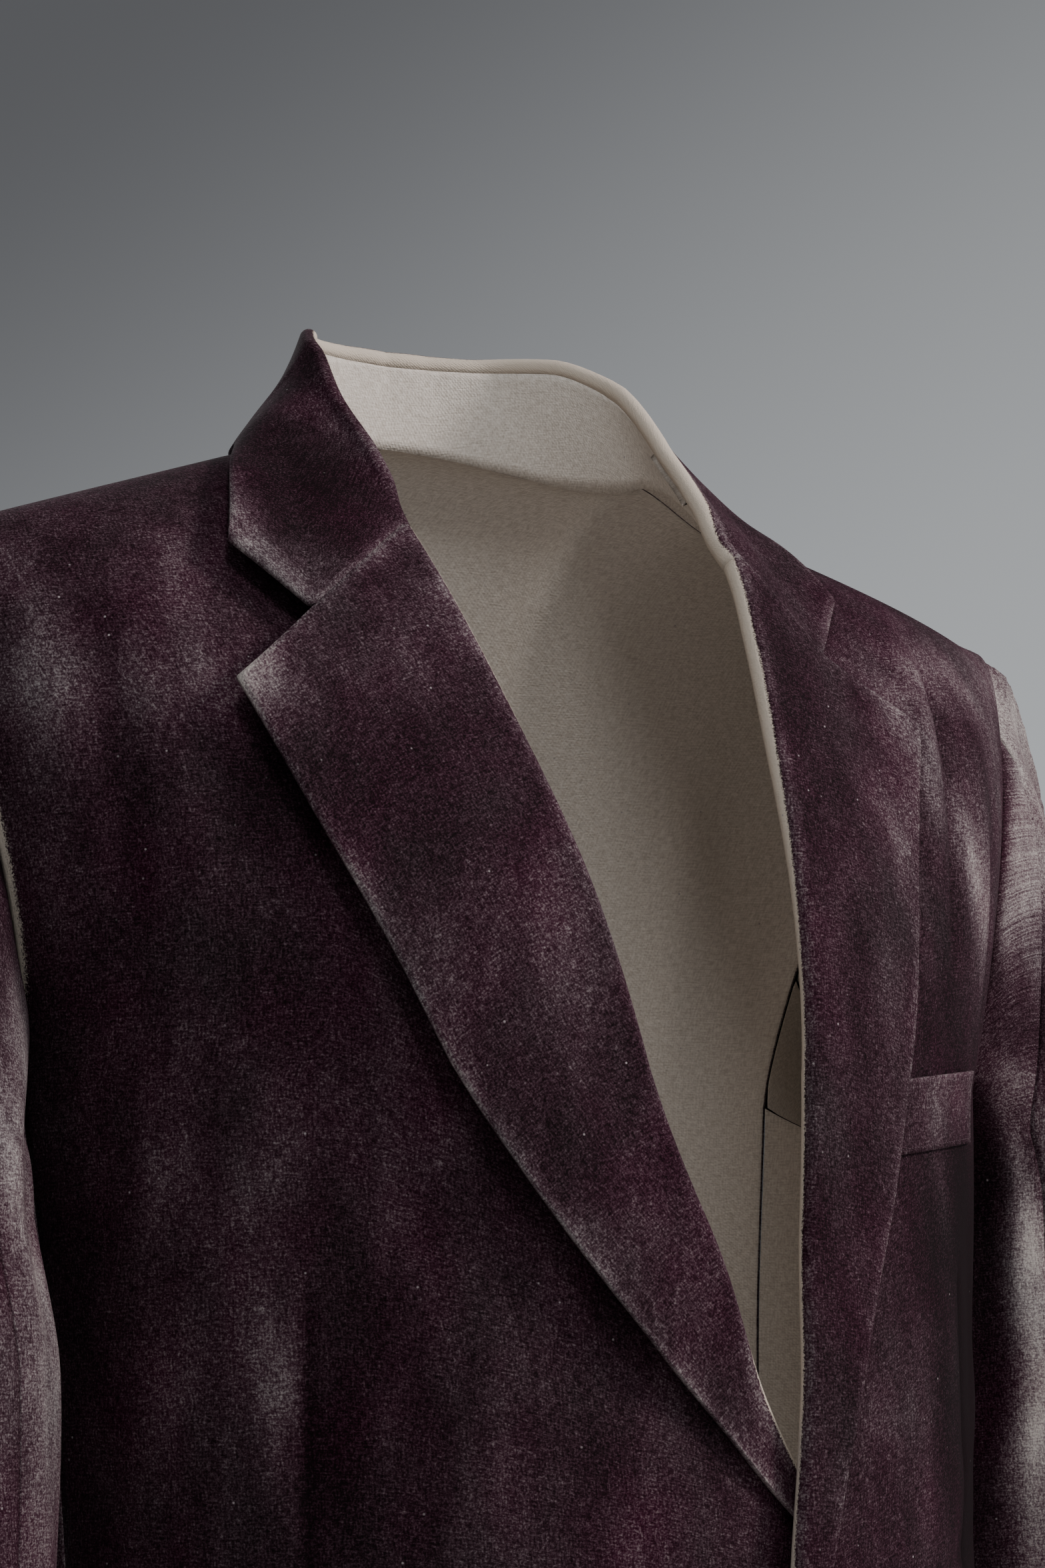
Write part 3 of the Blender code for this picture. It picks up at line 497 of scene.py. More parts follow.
# rows of the panels, from the hem up to the chest and on to the shoulder line,
# and the back's columns along the neck
CORNER_ROWS, FRONT_ROWS, BODY_ROWS, HIGH_ROWS = 22, 106, 120, 76
NECK_COLUMNS = 34
FIRST_TURN = -88
FRONT_LEVELS = np.concatenate([
    np.linspace(HEM, HEM + HEM_CORNER, CORNER_ROWS),
    np.linspace(HEM + HEM_CORNER, CHEST, FRONT_ROWS)[1:],
])
FRONT_TURNS = np.linspace(FIRST_TURN, 0, HIGH_ROWS)
BODY_LEVELS = np.linspace(HEM, CHEST, BODY_ROWS)
BACK_TURNS = -FRONT_TURNS
NECK_MARKS = np.linspace(0, 1, NECK_COLUMNS)
EDGE_LINE = {side: edge_line(side) for side in SIDES}


# least cloth on either side of the dart's column, and its neighbour columns
DART_INSIDE = 60 * MM
DART_OUTSIDE = 20 * MM
DART_BESIDE = 1 * MM


def across_front(start, end, count_in=44, count_out=20):
    """Columns of a front: up to the dart, one on its seam, then to the side."""
    dart = min(max(DART, start + DART_INSIDE), end - DART_OUTSIDE)
    return np.concatenate([
        edged(start, dart - DART_BESIDE, count_in, SEAM_RIM)[:-2],
        [dart - DART_BESIDE, dart, dart + DART_BESIDE],
        edged(dart + DART_BESIDE, end, count_out, SEAM_RIM)[2:],
    ])


def front_panel(side):
    """Rows of a front from the hem up, each from its edge to its side seam."""
    rows = []
    for level in FRONT_LEVELS:
        end = FRONT_SEAM * table_at(GIRTH, level, 1) - GAP / 2
        outs = across_front(inner_edge(side, level), end)
        rows.append(front_low(side, outs, level))
    for turn in FRONT_TURNS:
        start = edge_at_turn(side, turn)[0]
        outs = across_front(start, table_at(ARMHOLE_FRONT, -turn))
        rows.append(high(side, outs, turn))
    return np.array(rows)


def side_panel(side, columns=26):
    """Rows of a side body from the hem up, dipped at the armhole."""
    rows = []
    for level in BODY_LEVELS:
        half, front, behind = (table_at(GIRTH, level, k) for k in (1, 2, 3))
        first = math.asin(FRONT_SEAM ** (FRONT_SQUARENESS / 2))
        last = math.pi - math.asin(BACK_SEAM ** (BACK_SQUARENESS / 2))
        angles = edged(first, last, columns, SEAM_RIM / half)
        ahead = np.cos(angles) > 0
        power = 2 / np.where(ahead, FRONT_SQUARENESS, BACK_SQUARENESS)
        out = half * np.sin(angles) ** power
        back = np.where(ahead, -front, behind) * np.abs(np.cos(angles)) ** power
        row = place(side, out, back, level)
        dip = ARMHOLE_DIP * ((level - HEM) / (CHEST - HEM)) ** DIP_POWER
        row[:, 2] -= dip * np.sin(math.pi * (angles - first) / (last - first))
        rows.append(row)
    return np.array(rows)


# the back's last row lies this many degrees behind the shoulder line
LAST_TURN = 0.01


def back_panel(side, columns=62):
    """Rows of a back from the hem up, each from the middle to its side seam."""
    rows = []
    neck = np.sin(NECK_MARKS * math.pi / 2) * NECK_HALF
    for level in BODY_LEVELS:
        half, behind = table_at(GIRTH, level, 1), table_at(GIRTH, level, 3)
        outs = edged(0, BACK_SEAM * half, columns, SEAM_RIM)
        rows.append(place(side, outs, behind * rounding(outs / half, BACK_SQUARENESS), level))
    for turn in BACK_TURNS:
        end = table_at(ARMHOLE_BACK, turn)
        chest_outs = edged(0, end, columns, SEAM_RIM)
        beyond = edged(NECK_HALF, end, columns - NECK_COLUMNS + 1, SEAM_RIM)[1:]
        top_outs = np.concatenate([neck, beyond])
        mix = (1 - turn / 90) ** 2
        outs = chest_outs * (1 - mix) + top_outs * mix
        rows.append(high(side, outs, max(turn, LAST_TURN)))
    return np.array(rows)


def inward(border, beside):
    """Way from a border into its grid, square to the border."""
    along = unit(np.gradient(border, axis=0))
    step = beside - border
    return unit(step - along * (step * along).sum(-1, keepdims=True))


def pull_in(grid, low, top=0.0):
    """Shorten a grid of points at its first and last row, along its own faces."""
    grid = grid.copy()
    grid[0] += inward(grid[0], grid[1]) * low
    grid[-1] += inward(grid[-1], grid[-2]) * top
    return grid


# Lapels, from the roll out

# step along the drawn edge that its direction is worked out from
EDGE_STEP = 4 * MM


def roll_frame(side, level):
    """Edge point of the front, outward normal and the way to the opening."""
    point, normal = front_frame(side, inner_edge(side, level), level)
    above, below = (front_at(side, drawn_edge(side, up), up)
                    for up in (level + EDGE_STEP, level - EDGE_STEP))
    along = unit(above - below)
    way = unit(np.cross(normal, along)) * SIDES[side]
    return point, normal, way


def roll_radius(side, level):
    """Radius of a roll, sharpest at its lower end."""
    return ROLL_RADIUS_END + (ROLL_RADIUS - ROLL_RADIUS_END) * smooth(*ROLL_SOFTENS[side], level)


def roll_arc(point, normal, way, radius, count, stand=0.0):
    """Visible face of the roll, from the inside round to the lapel's face."""
    outer = radius + WALL / 2
    centre = point + way * (ROLL_GAP + stand) + normal * (radius - WALL / 2)
    angles = np.linspace(0, math.pi, count)[:, None]
    return centre + outer * (-normal * np.cos(angles) + way * np.sin(angles))


def lapel_path(side, share, count):
    """Places (out, level) across the lapel, from roll to edge."""
    top_edge = LAPEL_EDGE[side][-1]
    low_edge = LAPEL_EDGE[side][0]
    roll_level = GORGE + (low_edge[0] - GORGE) * share
    edge_level = top_edge[0] + (low_edge[0] - top_edge[0]) * share
    roll = np.array([inner_edge(side, roll_level), roll_level])
    edge = np.array([table_at(LAPEL_EDGE[side], edge_level), edge_level])
    steps = np.linspace(0, 1, count)[:, None]
    straight = roll + (edge - roll) * steps
    gorge = np.array([inner_edge(side, GORGE), GORGE])
    tip = np.array([top_edge[1], top_edge[0]])
    notch = np.array(NOTCH[side])
    bend = two_legs(gorge, notch, tip, steps) - (gorge + (tip - gorge) * steps)
    return straight + bend * (1 - smooth(0, NOTCH_FADE, share)), roll_level


def two_legs(start, corner, end, steps):
    """Places along two straight legs that meet at a corner."""
    first = np.linalg.norm(corner - start)
    turn = first / (first + np.linalg.norm(end - corner))
    near = start + (corner - start) * steps / turn
    far = corner + (end - corner) * (steps - turn) / (1 - turn)
    return np.where(steps < turn, near, far)


def leaf_points(side, path, low, high_edge):
    """Face of a leaf over the front, its height from one edge to the other."""
    points = []
    heights = np.linspace(low, high_edge, len(path))
    for (out, level), height in zip(path[1:], heights[1:]):
        point, normal = front_frame(side, out, level)
        points.append(point + normal * height)
    return np.array(points)


def lapel_levels(side):
    """Levels of the lapel's rows: the rows of the front, the gorge, the break."""
    low = LAPEL_EDGE[side][0][0]
    line = EDGE_LINE[side][:, 0]
    levels = [level for level in line if low + LAPEL_CLEAR < level < GORGE - LAPEL_CLEAR]
    return np.array([GORGE, GORGE - RIM] + levels[::-1] + [low])


def lapel(side, leaf=34, arc=12):
    """Rows of a lapel from the gorge down: round the roll and across the leaf."""
    grid = []
    levels = lapel_levels(side)
    for share in (levels - levels[0]) / (levels[-1] - levels[0]):
        path, level = lapel_path(side, share, leaf)
        point, normal, way = roll_frame(side, level)
        radius = roll_radius(side, level)
        low = 2 * radius
        edge = low + (LAPEL_HEIGHT - 2 * ROLL_RADIUS)
        turned = roll_arc(point, normal, way, radius, arc)
        grid.append(np.concatenate([turned, leaf_points(side, path, low, edge)]))
    return pull_in(np.array(grid), low=GAP)


# Collar, from the nape round to the gorges


def neckline(side, mark):
    """Edge point of the body along the neckline, from the nape to the gorge."""
    if mark <= 1:
        out = NECK_HALF * math.sin(mark * math.pi / 2)
        back, up = ridge(side, out, True)
        return place(side, out, back, up)
    level = min(GORGE * (mark - 1), NECK_LEVEL)
    return front_at(side, inner_edge(side, level), level)


def guide_base(side, mark):
    """Mean of the neckline near a mark, for a stand that leans without a kink."""
    reach = min(GUIDE_REACH, mark, 2 - mark)
    return np.mean([neckline(side, mark + reach * k / 3) for k in range(-3, 4)], axis=0)


def collar_row(side, mark):
    """Columns of the collar's table at a mark, carried on to the collar point."""
    table = COLLAR[side]
    point, normal, way = roll_frame(side, GORGE)
    crest = point + way * (ROLL_GAP + ROLL_RADIUS + WALL / 2)
    crest = crest + normal * (ROLL_RADIUS - WALL / 2)
    tip = COLLAR_POINT[side]
    turn = turn_at(side, *tip)
    last = (2.0, SIDES[side] * crest[0], crest[1], crest[2], tip[0], turn, LAPEL_HEIGHT)
    return [table_at(table + (last,), mark, column) for column in range(1, 7)]


def bezier(start, leaving, landing, end, steps):
    """Points of a curve that leaves and lands towards its two handles."""
    rest = 1 - steps
    near = start * rest ** 3 + 3 * leaving * steps * rest ** 2
    return near + 3 * landing * steps ** 2 * rest + end * steps ** 3


# marks between which the collar takes up the roll's frame, its radius and its
# fuller fall, and marks before and after a row that its way is worked out from
TO_ROLL_FRAME = (1.6, 1.95)
TO_ROLL_RADIUS = (1.3, 1.95)
TO_FRONT_FALL = (0.9, 1.35)
TO_COLLAR_END = (1.2, 2.0)
MARK_NUDGE = 0.02
# handles of the fall as shares of its length, and how much the first one loses
FALL_HANDLE = 0.33
FRONT_HANDLE_LESS = 0.2


def collar_frame(side, mark, fold):
    """Way up the stand and its normal, which become the roll's at the gorge."""
    around = [place(side, *collar_row(side, min(max(mark + nudge, 0), 2))[:3])
              for nudge in (-MARK_NUDGE, MARK_NUDGE)]
    along = unit(around[1] - around[0])
    if mark <= MARK_NUDGE:
        along = np.array([SIDES[side], 0.0, 0.0])
    lean = fold - guide_base(side, mark)
    way = unit(lean - along * np.dot(lean, along))
    normal = unit(np.cross(way, along)) * SIDES[side]
    at_gorge = smooth(*TO_ROLL_FRAME, mark)
    if at_gorge > 0:
        roll_normal, roll_way = roll_frame(side, GORGE * (mark - 1))[1:]
        way = unit(way * (1 - at_gorge) + roll_way * at_gorge)
        normal = unit(normal * (1 - at_gorge) + roll_normal * at_gorge)
    return way, normal


def fall_points(side, mark, start, way, count):
    """Outer collar in one row, from the end of the fold down to its edge."""
    edge_out, edge_turn, edge_height = collar_row(side, mark)[3:]
    edge, edge_normal = high_frame(side, edge_out, edge_turn)
    edge = edge + edge_normal * edge_height
    length = np.linalg.norm(edge - start)
    ahead = smooth(*TO_FRONT_FALL, mark)
    leaving = start - way * length * (FALL_HANDLE - FRONT_HANDLE_LESS * ahead)
    bulge = (FALL_BULGE + FRONT_BULGE * ahead) * (1 - smooth(*TO_ROLL_FRAME, mark))
    landing = edge + unit(start - edge) * length * FALL_HANDLE + edge_normal * bulge
    return bezier(start, leaving, landing, edge, np.linspace(0, 1, count)[1:, None])


def collar_station(side, mark, leaf, arc, stand):
    """One row of the collar: up the stand, round the fold, down the fall."""
    base = neckline(side, mark)
    fold = place(side, *collar_row(side, mark)[:3])
    way, normal = collar_frame(side, mark, fold)
    rise = fold - base
    radius = COLLAR_RADIUS + (ROLL_RADIUS - COLLAR_RADIUS) * smooth(*TO_ROLL_RADIUS, mark)
    height = max(np.dot(rise, way) - radius - WALL / 2 - ROLL_GAP, 0)
    below = fold - way * np.dot(rise, way) - normal * np.dot(rise, normal)
    arc_points = roll_arc(below, normal, way, radius, arc, height)
    foot = base - normal * (WALL + ROLL_GAP) - way * STAND_ALLOWANCE
    up_steps = np.linspace(0, 1, stand)[:-1, None]
    stand_points = foot + (arc_points[0] - foot) * up_steps
    return stand_points, arc_points, fall_points(side, mark, arc_points[-1], way, leaf)


def gorge_bend(side, leaf):
    """Last row of the fall: along the gorge, then the collar's end."""
    gorge = np.array([inner_edge(side, GORGE), GORGE])
    steps = np.linspace(0, 1, leaf)[:, None]
    path = two_legs(gorge, np.array(NOTCH[side]), np.array(COLLAR_POINT[side]), steps)
    return leaf_points(side, path, 2 * ROLL_RADIUS, LAPEL_HEIGHT)


def collar_marks(side):
    """Collar rows from the gorge to the nape, at the rows of front and back."""
    levels = EDGE_LINE[side][:, 0]
    ahead = [1 + level / GORGE for level in levels if GORGE < level < -NECK_CLEAR]
    marks = [2.0, TO_ROLL_FRAME[1]] + ahead + list(NECK_MARKS[::-1])
    between = [(marks[k] + marks[k + 1]) / 2 for k in range(1, len(ahead) + 2)]
    return sorted(set(marks + between), reverse=True)


def collar_grids(leaf=30, arc=12, stand=9):
    """Stand and fall, as rows from the right gorge round the nape to the left."""
    stands, falls = [], []
    bends = {side: gorge_bend(side, leaf) - collar_station(side, 2.0, leaf, arc, stand)[2]
             for side in SIDES}
    order = [("right", mark) for mark in collar_marks("right")]
    order = order + [("left", mark) for mark in collar_marks("left")[-2::-1]]
    for side, mark in order:
        low, arc_points, fall = collar_station(side, mark, leaf, arc, stand)
        fall = fall + bends[side] * smooth(*TO_COLLAR_END, mark)
        seam_room = min(np.linalg.norm(arc_points[0] - low[0]), STAND_SEAM)
        down = unit(low[0] - arc_points[0])
        seam = arc_points[0] + down * seam_room * 0.5
        if mark <= STAND_END:
            stands.append(np.concatenate([low, [seam + down * GAP]]))
        falls.append(np.concatenate([[seam], arc_points, fall]))
    return np.array(stands), pull_in(np.array(falls), low=FALL_GAP, top=FALL_GAP)


# Sleeves, from the armholes down

PANELS = {}
for side in SIDES:
    PANELS["front_" + side] = front_panel(side)
    PANELS["side_body_" + side] = side_panel(side)
    PANELS["back_" + side] = back_panel(side)


def armhole_loop(side):
    """Armhole from the shoulder point down the front, under, up the back."""
    front = PANELS["front_" + side][:, -1][::-1]
    front = front[:len(FRONT_TURNS) + 1]
    under = PANELS["side_body_" + side][-1]
    back = PANELS["back_" + side][len(BODY_LEVELS) - 1:, -1]
    loop = [front[0]]
    for point in np.concatenate([front[1:], under, back]):
        if np.linalg.norm(point - loop[-1]) > SEAM_RIM:
            loop.append(point)
    return np.array(loop)


# step down the sleeve that the lean of its rings is worked out from
SLEEVE_STEP = 5 * MM


def sleeve_ring(side, level, angles):
    """Points round the sleeve at a level, square to the bend of the arm."""
    out, back, half, deep = (table_at(SLEEVE[side], level, k) for k in (1, 2, 3, 4))
    above, below = (table_at(SLEEVE[side], level + way, 2) for way in (SLEEVE_STEP, -SLEEVE_STEP))
    lean = (above - below) / (2 * SLEEVE_STEP) * smooth(*SLEEVE_LEANS, level)
    behind = -deep * np.sin(angles)
    return place(side, out + half * np.cos(angles), back + behind, level - lean * behind)


def softened(values, rounds):
    """Values along a line, each brought to the mean of its neighbours; ends stay."""
    for _ in range(rounds):
        inner = (values[:-2] + 2 * values[1:-1] + values[2:]) / 4
        values = np.concatenate([values[:1], inner, values[-1:]])
    return values


def columns_at(where, places, values):
    """Each column of values that lie at places, read off where asked."""
    return np.stack([np.interp(where, places, values[:, k]) for k in range(3)], -1)


def cap_frames(side):
    """Armhole points and angles, the way out of the panel and its normal."""
    loop = armhole_loop(side)
    reach = np.concatenate([[0], np.cumsum(np.linalg.norm(np.diff(loop, axis=0), axis=1))])
    angles = np.linspace(0, 360, CAP_POINTS)
    loop = columns_at(angles, 360 * reach / reach[-1], loop)
    middle = np.array([SIDES[side] * ARM_OUT, 0, ARM_LEVEL])
    along = unit(np.gradient(softened(loop, LOOP_ROUNDS), axis=0))
    along[0] = along[-1] = np.array([0.0, -1.0, 0.0])
    spoke = unit(loop - middle)
    rising = 1 - smooth(*HEAD_REACH, np.minimum(angles, 360 - angles))
    across = np.tile([SIDES[side] * HEAD_OUTWARD, 0.0, 0.0], (len(loop), 1))
    outward = unit(across + np.stack([0 * rising, spoke[:, 1], spoke[:, 2] * rising], -1))
    shoulder_slope = [SIDES[side] * SHOULDER_DROP, 0.0, SHOULDER_HALF - NECK_HALF]
    outward[0] = outward[-1] = unit(np.array(shoulder_slope))
    leave = unit(np.cross(outward, along) * SIDES[side])
    return loop, angles, unit(softened(leave, WAY_ROUNDS)), unit(softened(outward, WAY_ROUNDS))


def cap_row(side, frames, angles, places, share):
    """Ring of the sleeve head: armhole places in degrees, ring angles."""
    loop, loop_angles, leave, outward = frames
    start, leave, outward = (columns_at(places, loop_angles, values)
                             for values in (loop, leave, outward))
    leave, outward = unit(leave), unit(outward)
    ring = sleeve_ring(side, SLEEVE[side][0][0], np.radians(angles))
    straight = unit(ring - start)
    top = np.clip(np.cos(np.radians(places)), 0, 1)[:, None] ** TOP_POWER
    sunk = np.minimum((straight * outward).sum(-1, keepdims=True), 0)
    gentle = unit(straight - outward * sunk)
    head = unit(leave * top + gentle * (1 - top))
    start = start - outward * SLEEVE_TUCK - leave * SLEEVE_ALLOWANCE
    control = start + head * SLEEVE_HEAD * (HEAD_LEAST + (1 - HEAD_LEAST) * top)
    drop = np.array([0.0, 0.0, 1.0]) * SLEEVE_DROP * (DROP_LEAST + (1 - DROP_LEAST) * top)
    return bezier(start, control, ring + drop, ring, share)


def seam_angle(share):
    """Front seam of the sleeve, from the armhole down to the first full ring."""
    return FRONT_SEAM_TOP + (FRONT_SLEEVE_SEAM - FRONT_SEAM_TOP) * smooth(0, SEAM_SWING, share)


def sleeve_columns(first, last, marks):
    """Armhole places of a piece's columns between its two seams."""
    low, top = min(first, last), max(first, last)
    places = np.concatenate([marks - 360, marks, marks + 360])
    inside = places[(places > low + 2 * SLEEVE_RIM) & (places < top - 2 * SLEEVE_RIM)]
    return np.unique(np.concatenate([[low, low + SLEEVE_RIM], inside, [top - SLEEVE_RIM, top]]))


CAP_SHARES = np.linspace(0, 1, 34)
# radius that turns degrees round the sleeve into lengths on its cloth, and the
# one that the width of its seam's gap is measured on
SLEEVE_GIRTH = 46 * MM
SEAM_GIRTH = 50 * MM


def sleeve_grid(side, piece, arm_rows=100):
    """Rows down one piece of the sleeve, from the armhole to the cuff."""
    frames = cap_frames(side)
    edge = math.degrees(GAP / 2 / SEAM_GIRTH)
    back_seam = BACK_SLEEVE_SEAM - 360 + edge if piece == "top" else BACK_SLEEVE_SEAM - edge
    toward = -1 if piece == "top" else 1
    start_seam = FRONT_SEAM_TOP + toward * SEAM_EASE * edge
    columns = sleeve_columns(back_seam, start_seam, frames[1][:-1])
    along = np.sort((columns - back_seam) / (start_seam - back_seam))[::-1]

    def ring_angles(share):
        ease = 1 + (SEAM_EASE - 1) * (1 - smooth(*SEAM_CLOSES, share))
        return back_seam + along * (seam_angle(share) + toward * ease * edge - back_seam)

    rows, round_it = [], []
    for share in CAP_SHARES:
        angles = ring_angles(share)
        round_it.append(angles)
        rows.append(cap_row(side, frames, angles, np.mod(angles, 360), share))
    for level in np.linspace(SLEEVE[side][0][0], SLEEVE[side][-1][0], arm_rows)[1:]:
        angles = ring_angles(1.0)
        round_it.append(angles)
        rows.append(sleeve_ring(side, level, np.radians(angles)))
    return np.array(rows), np.radians(np.array(round_it)) * SLEEVE_GIRTH


# Breast pocket welt


def welt(rows_up=16, columns=48):
    """Strip on the left front, open along its top."""
    rows = []
    for up in np.linspace(0, 1, rows_up):
        row = []
        for share in np.linspace(0, 1, columns):
            out = WELT_INNER + (WELT_OUTER - WELT_INNER) * share
            top = WELT_TOP[0] + (WELT_TOP[1] - WELT_TOP[0]) * share
            level = top - WELT_HEIGHT * (1 - up)
            point, normal = front_frame("left", out, level)
            row.append(point + normal * (GAP + WELT_WALL + WELT_MOUTH * up ** 2))
        rows.append(row)
    return np.array(rows)


# folds of each piece: from (across, level) to (across, level), sideways bend,
# half width, height of the ridge (a trough is below zero); all in mm
FOLDS = {
    "front_left": (
        (161, -72, 139, -188, 2, 3.4, -3.4), (150, -60, 122, -180, 4, 8, 2.4),
        (180, -80, 168, -200, 2, 8, 1.6), (188, -120, 172, -235, -3, 5, -1.4),
        (120, -90, 132, -150, -4, 12, 1.0), (170, -260, 160, -420, 6, 16, 1.6),
        (150, -275, 142, -400, 5, 10, -1.2), (112, -300, 96, -420, 6, 18, 1.2),
        (48, -442, 150, -395, 10, 7, -1.5), (50, -452, 170, -440, 9, 9, 1.6),
        (46, -462, 160, -505, -8, 7, -1.4), (60, -480, 120, -620, 12, 16, 1.8),
        (110, -520, 130, -730, 8, 18, -1.6), (165, -480, 172, -735, -8, 15, 1.8),
        (30, -520, 44, -700, 6, 14, 1.2), (176, -330, 120, -380, 6, 9, 1.1),
    ),
    "front_right": (
        (176, -58, 160, -170, -4, 12, 1.4), (190, -70, 178, -200, -3, 7, -1.6),
        (200, -90, 190, -215, 3, 7, 1.3), (150, -150, 158, -330, 8, 26, 1.6),
        (120, -240, 112, -420, 6, 20, -1.1), (170, -260, 166, -420, -5, 12, 1.5),
        (182, -280, 176, -400, 4, 8, -1.2), (40, -440, 140, -405, -8, 8, 1.4),
        (38, -455, 165, -450, -7, 8, -1.3), (30, -470, 150, -520, 9, 9, 1.5),
        (70, -500, 90, -700, 9, 18, 1.6), (125, -480, 140, -730, -8, 17, -1.5),
        (172, -470, 168, -730, 6, 15, 1.7), (0, -520, 16, -720, 5, 14, 1.1),
        (180, -340, 130, -385, -6, 9, 1.0), (85, -300, 100, -390, -5, 16, 1.0),
    ),
    "side_body_left": (
        (192, -300, 184, -470, 3, 8, -1.2), (178, -270, 186, -440, -3, 9, 1.3),
        (196, -430, 170, -450, 2, 8, 1.2), (198, -500, 196, -720, 3, 10, 1.4),
    ),
    "side_body_right": (
        (188, -290, 186, -450, -3, 8, 1.2), (180, -310, 190, -480, 3, 9, -1.3),
        (196, -445, 172, -425, -2, 8, 1.1), (196, -520, 199, -725, -3, 10, 1.5),
    ),
    "back_left": (
        (170, -80, 150, -300, 10, 16, 2.4), (152, -90, 132, -260, 8, 10, -1.8),
        (186, -140, 172, -330, 6, 9, 1.6), (60, -30, 40, -120, 6, 12, 1.0),
        (20, -400, 140, -420, 10, 9, 1.5), (30, -425, 160, -455, -9, 9, -1.4),
        (60, -460, 175, -480, 8, 10, 1.3), (60, -520, 76, -720, 10, 20, 2.0),
        (110, -500, 118, -735, -9, 16, -1.8), (150, -480, 160, -730, 9, 18, 2.0),
        (22, -560, 26, -735, 5, 14, 1.4), (90, -200, 96, -380, -8, 26, 1.6),
    ),
    "back_right": (
        (172, -90, 156, -280, -9, 15, 2.2), (156, -80, 130, -250, -8, 11, -1.7),
        (188, -150, 176, -350, -6, 9, 1.7), (52, -28, 44, -110, -5, 12, 0.9),
        (15, -415, 130, -405, -9, 10, 1.5), (25, -440, 150, -470, 10, 9, -1.4),
        (70, -450, 172, -500, -8, 10, 1.4), (50, -510, 64, -730, -9, 18, 1.9),
        (98, -520, 108, -725, 9, 17, -1.7), (140, -470, 152, -735, -8, 18, 2.1),
        (24, -540, 20, -735, -5, 13, 1.3), (84, -210, 88, -370, 8, 24, 1.5),
    ),
    "lapel_right": (
        (90, -110, 62, -200, 6, 20, 0.8), (60, -190, 30, -300, -5, 16, -0.7),
    ),
    "lapel_left": (
        (84, -110, 78, -200, 4, 16, 0.8), (66, -200, 46, -330, 4, 14, -0.6),
    ),
    "top_sleeve_left": (
        (20, -70, 40, -250, 8, 9, 1.5), (0, -66, 8, -200, 5, 8, -1.0),
        (-30, -90, -20, -260, -6, 10, 1.4), (60, -130, 66, -330, 5, 9, 1.8),
        (46, -150, 52, -300, -4, 7, -1.4), (-10, -420, 74, -455, -8, 9, -1.8),
        (-24, -445, 66, -490, -9, 10, 1.9), (0, -480, 80, -520, -7, 8, -1.5),
        (30, -520, 60, -660, 8, 14, 1.6), (-40, -300, -30, -440, 6, 14, 1.5),
        (-60, -470, -20, -560, 6, 10, -1.3), (10, -560, 0, -685, 5, 14, -1.4),
    ),
    "top_sleeve_right": (
        (24, -72, 36, -240, -8, 10, 1.4), (4, -64, 0, -190, -5, 8, -1.0),
        (-34, -88, -26, -250, 6, 10, 1.5), (56, -120, 70, -320, -5, 10, 1.7),
        (44, -160, 46, -310, 4, 8, -1.3), (-16, -410, 72, -445, 8, 9, -1.7),
        (-20, -440, 70, -480, 9, 10, 1.8), (4, -470, 78, -515, 7, 8, -1.6),
        (26, -530, 64, -670, -8, 14, 1.5), (-44, -310, -34, -450, -6, 14, 1.4),
        (-58, -460, -24, -550, -6, 10, -1.4), (14, -570, 4, -685, -5, 14, -1.3),
    ),
    "under_sleeve_left": (
        (96, -150, 100, -330, 4, 8, 1.9), (110, -170, 112, -360, -4, 6, -1.9),
        (124, -180, 122, -400, 4, 9, 1.7), (138, -200, 136, -380, -3, 7, -1.4),
        (100, -360, 122, -440, 6, 8, 1.6), (92, -430, 140, -470, 8, 8, -1.8),
        (94, -470, 150, -495, -7, 8, 1.7), (110, -520, 120, -680, 6, 12, 1.5),
        (160, -260, 164, -420, 4, 10, 1.3), (170, -470, 150, -560, 6, 9, -1.2),
    ),
    "under_sleeve_right": (
        (98, -160, 104, -320, -4, 9, 1.7), (112, -180, 108, -350, 4, 7, -1.7),
        (126, -170, 128, -410, -4, 9, 1.6), (140, -210, 138, -390, 3, 7, -1.3),
        (98, -350, 126, -430, -6, 9, 1.5), (94, -425, 142, -465, -8, 8, -1.7),
        (92, -465, 148, -500, 7, 8, 1.6), (112, -530, 118, -685, -6, 12, 1.4),
        (158, -270, 166, -410, -4, 10, 1.2), (168, -460, 152, -550, -6, 9, -1.3),
    ),
}
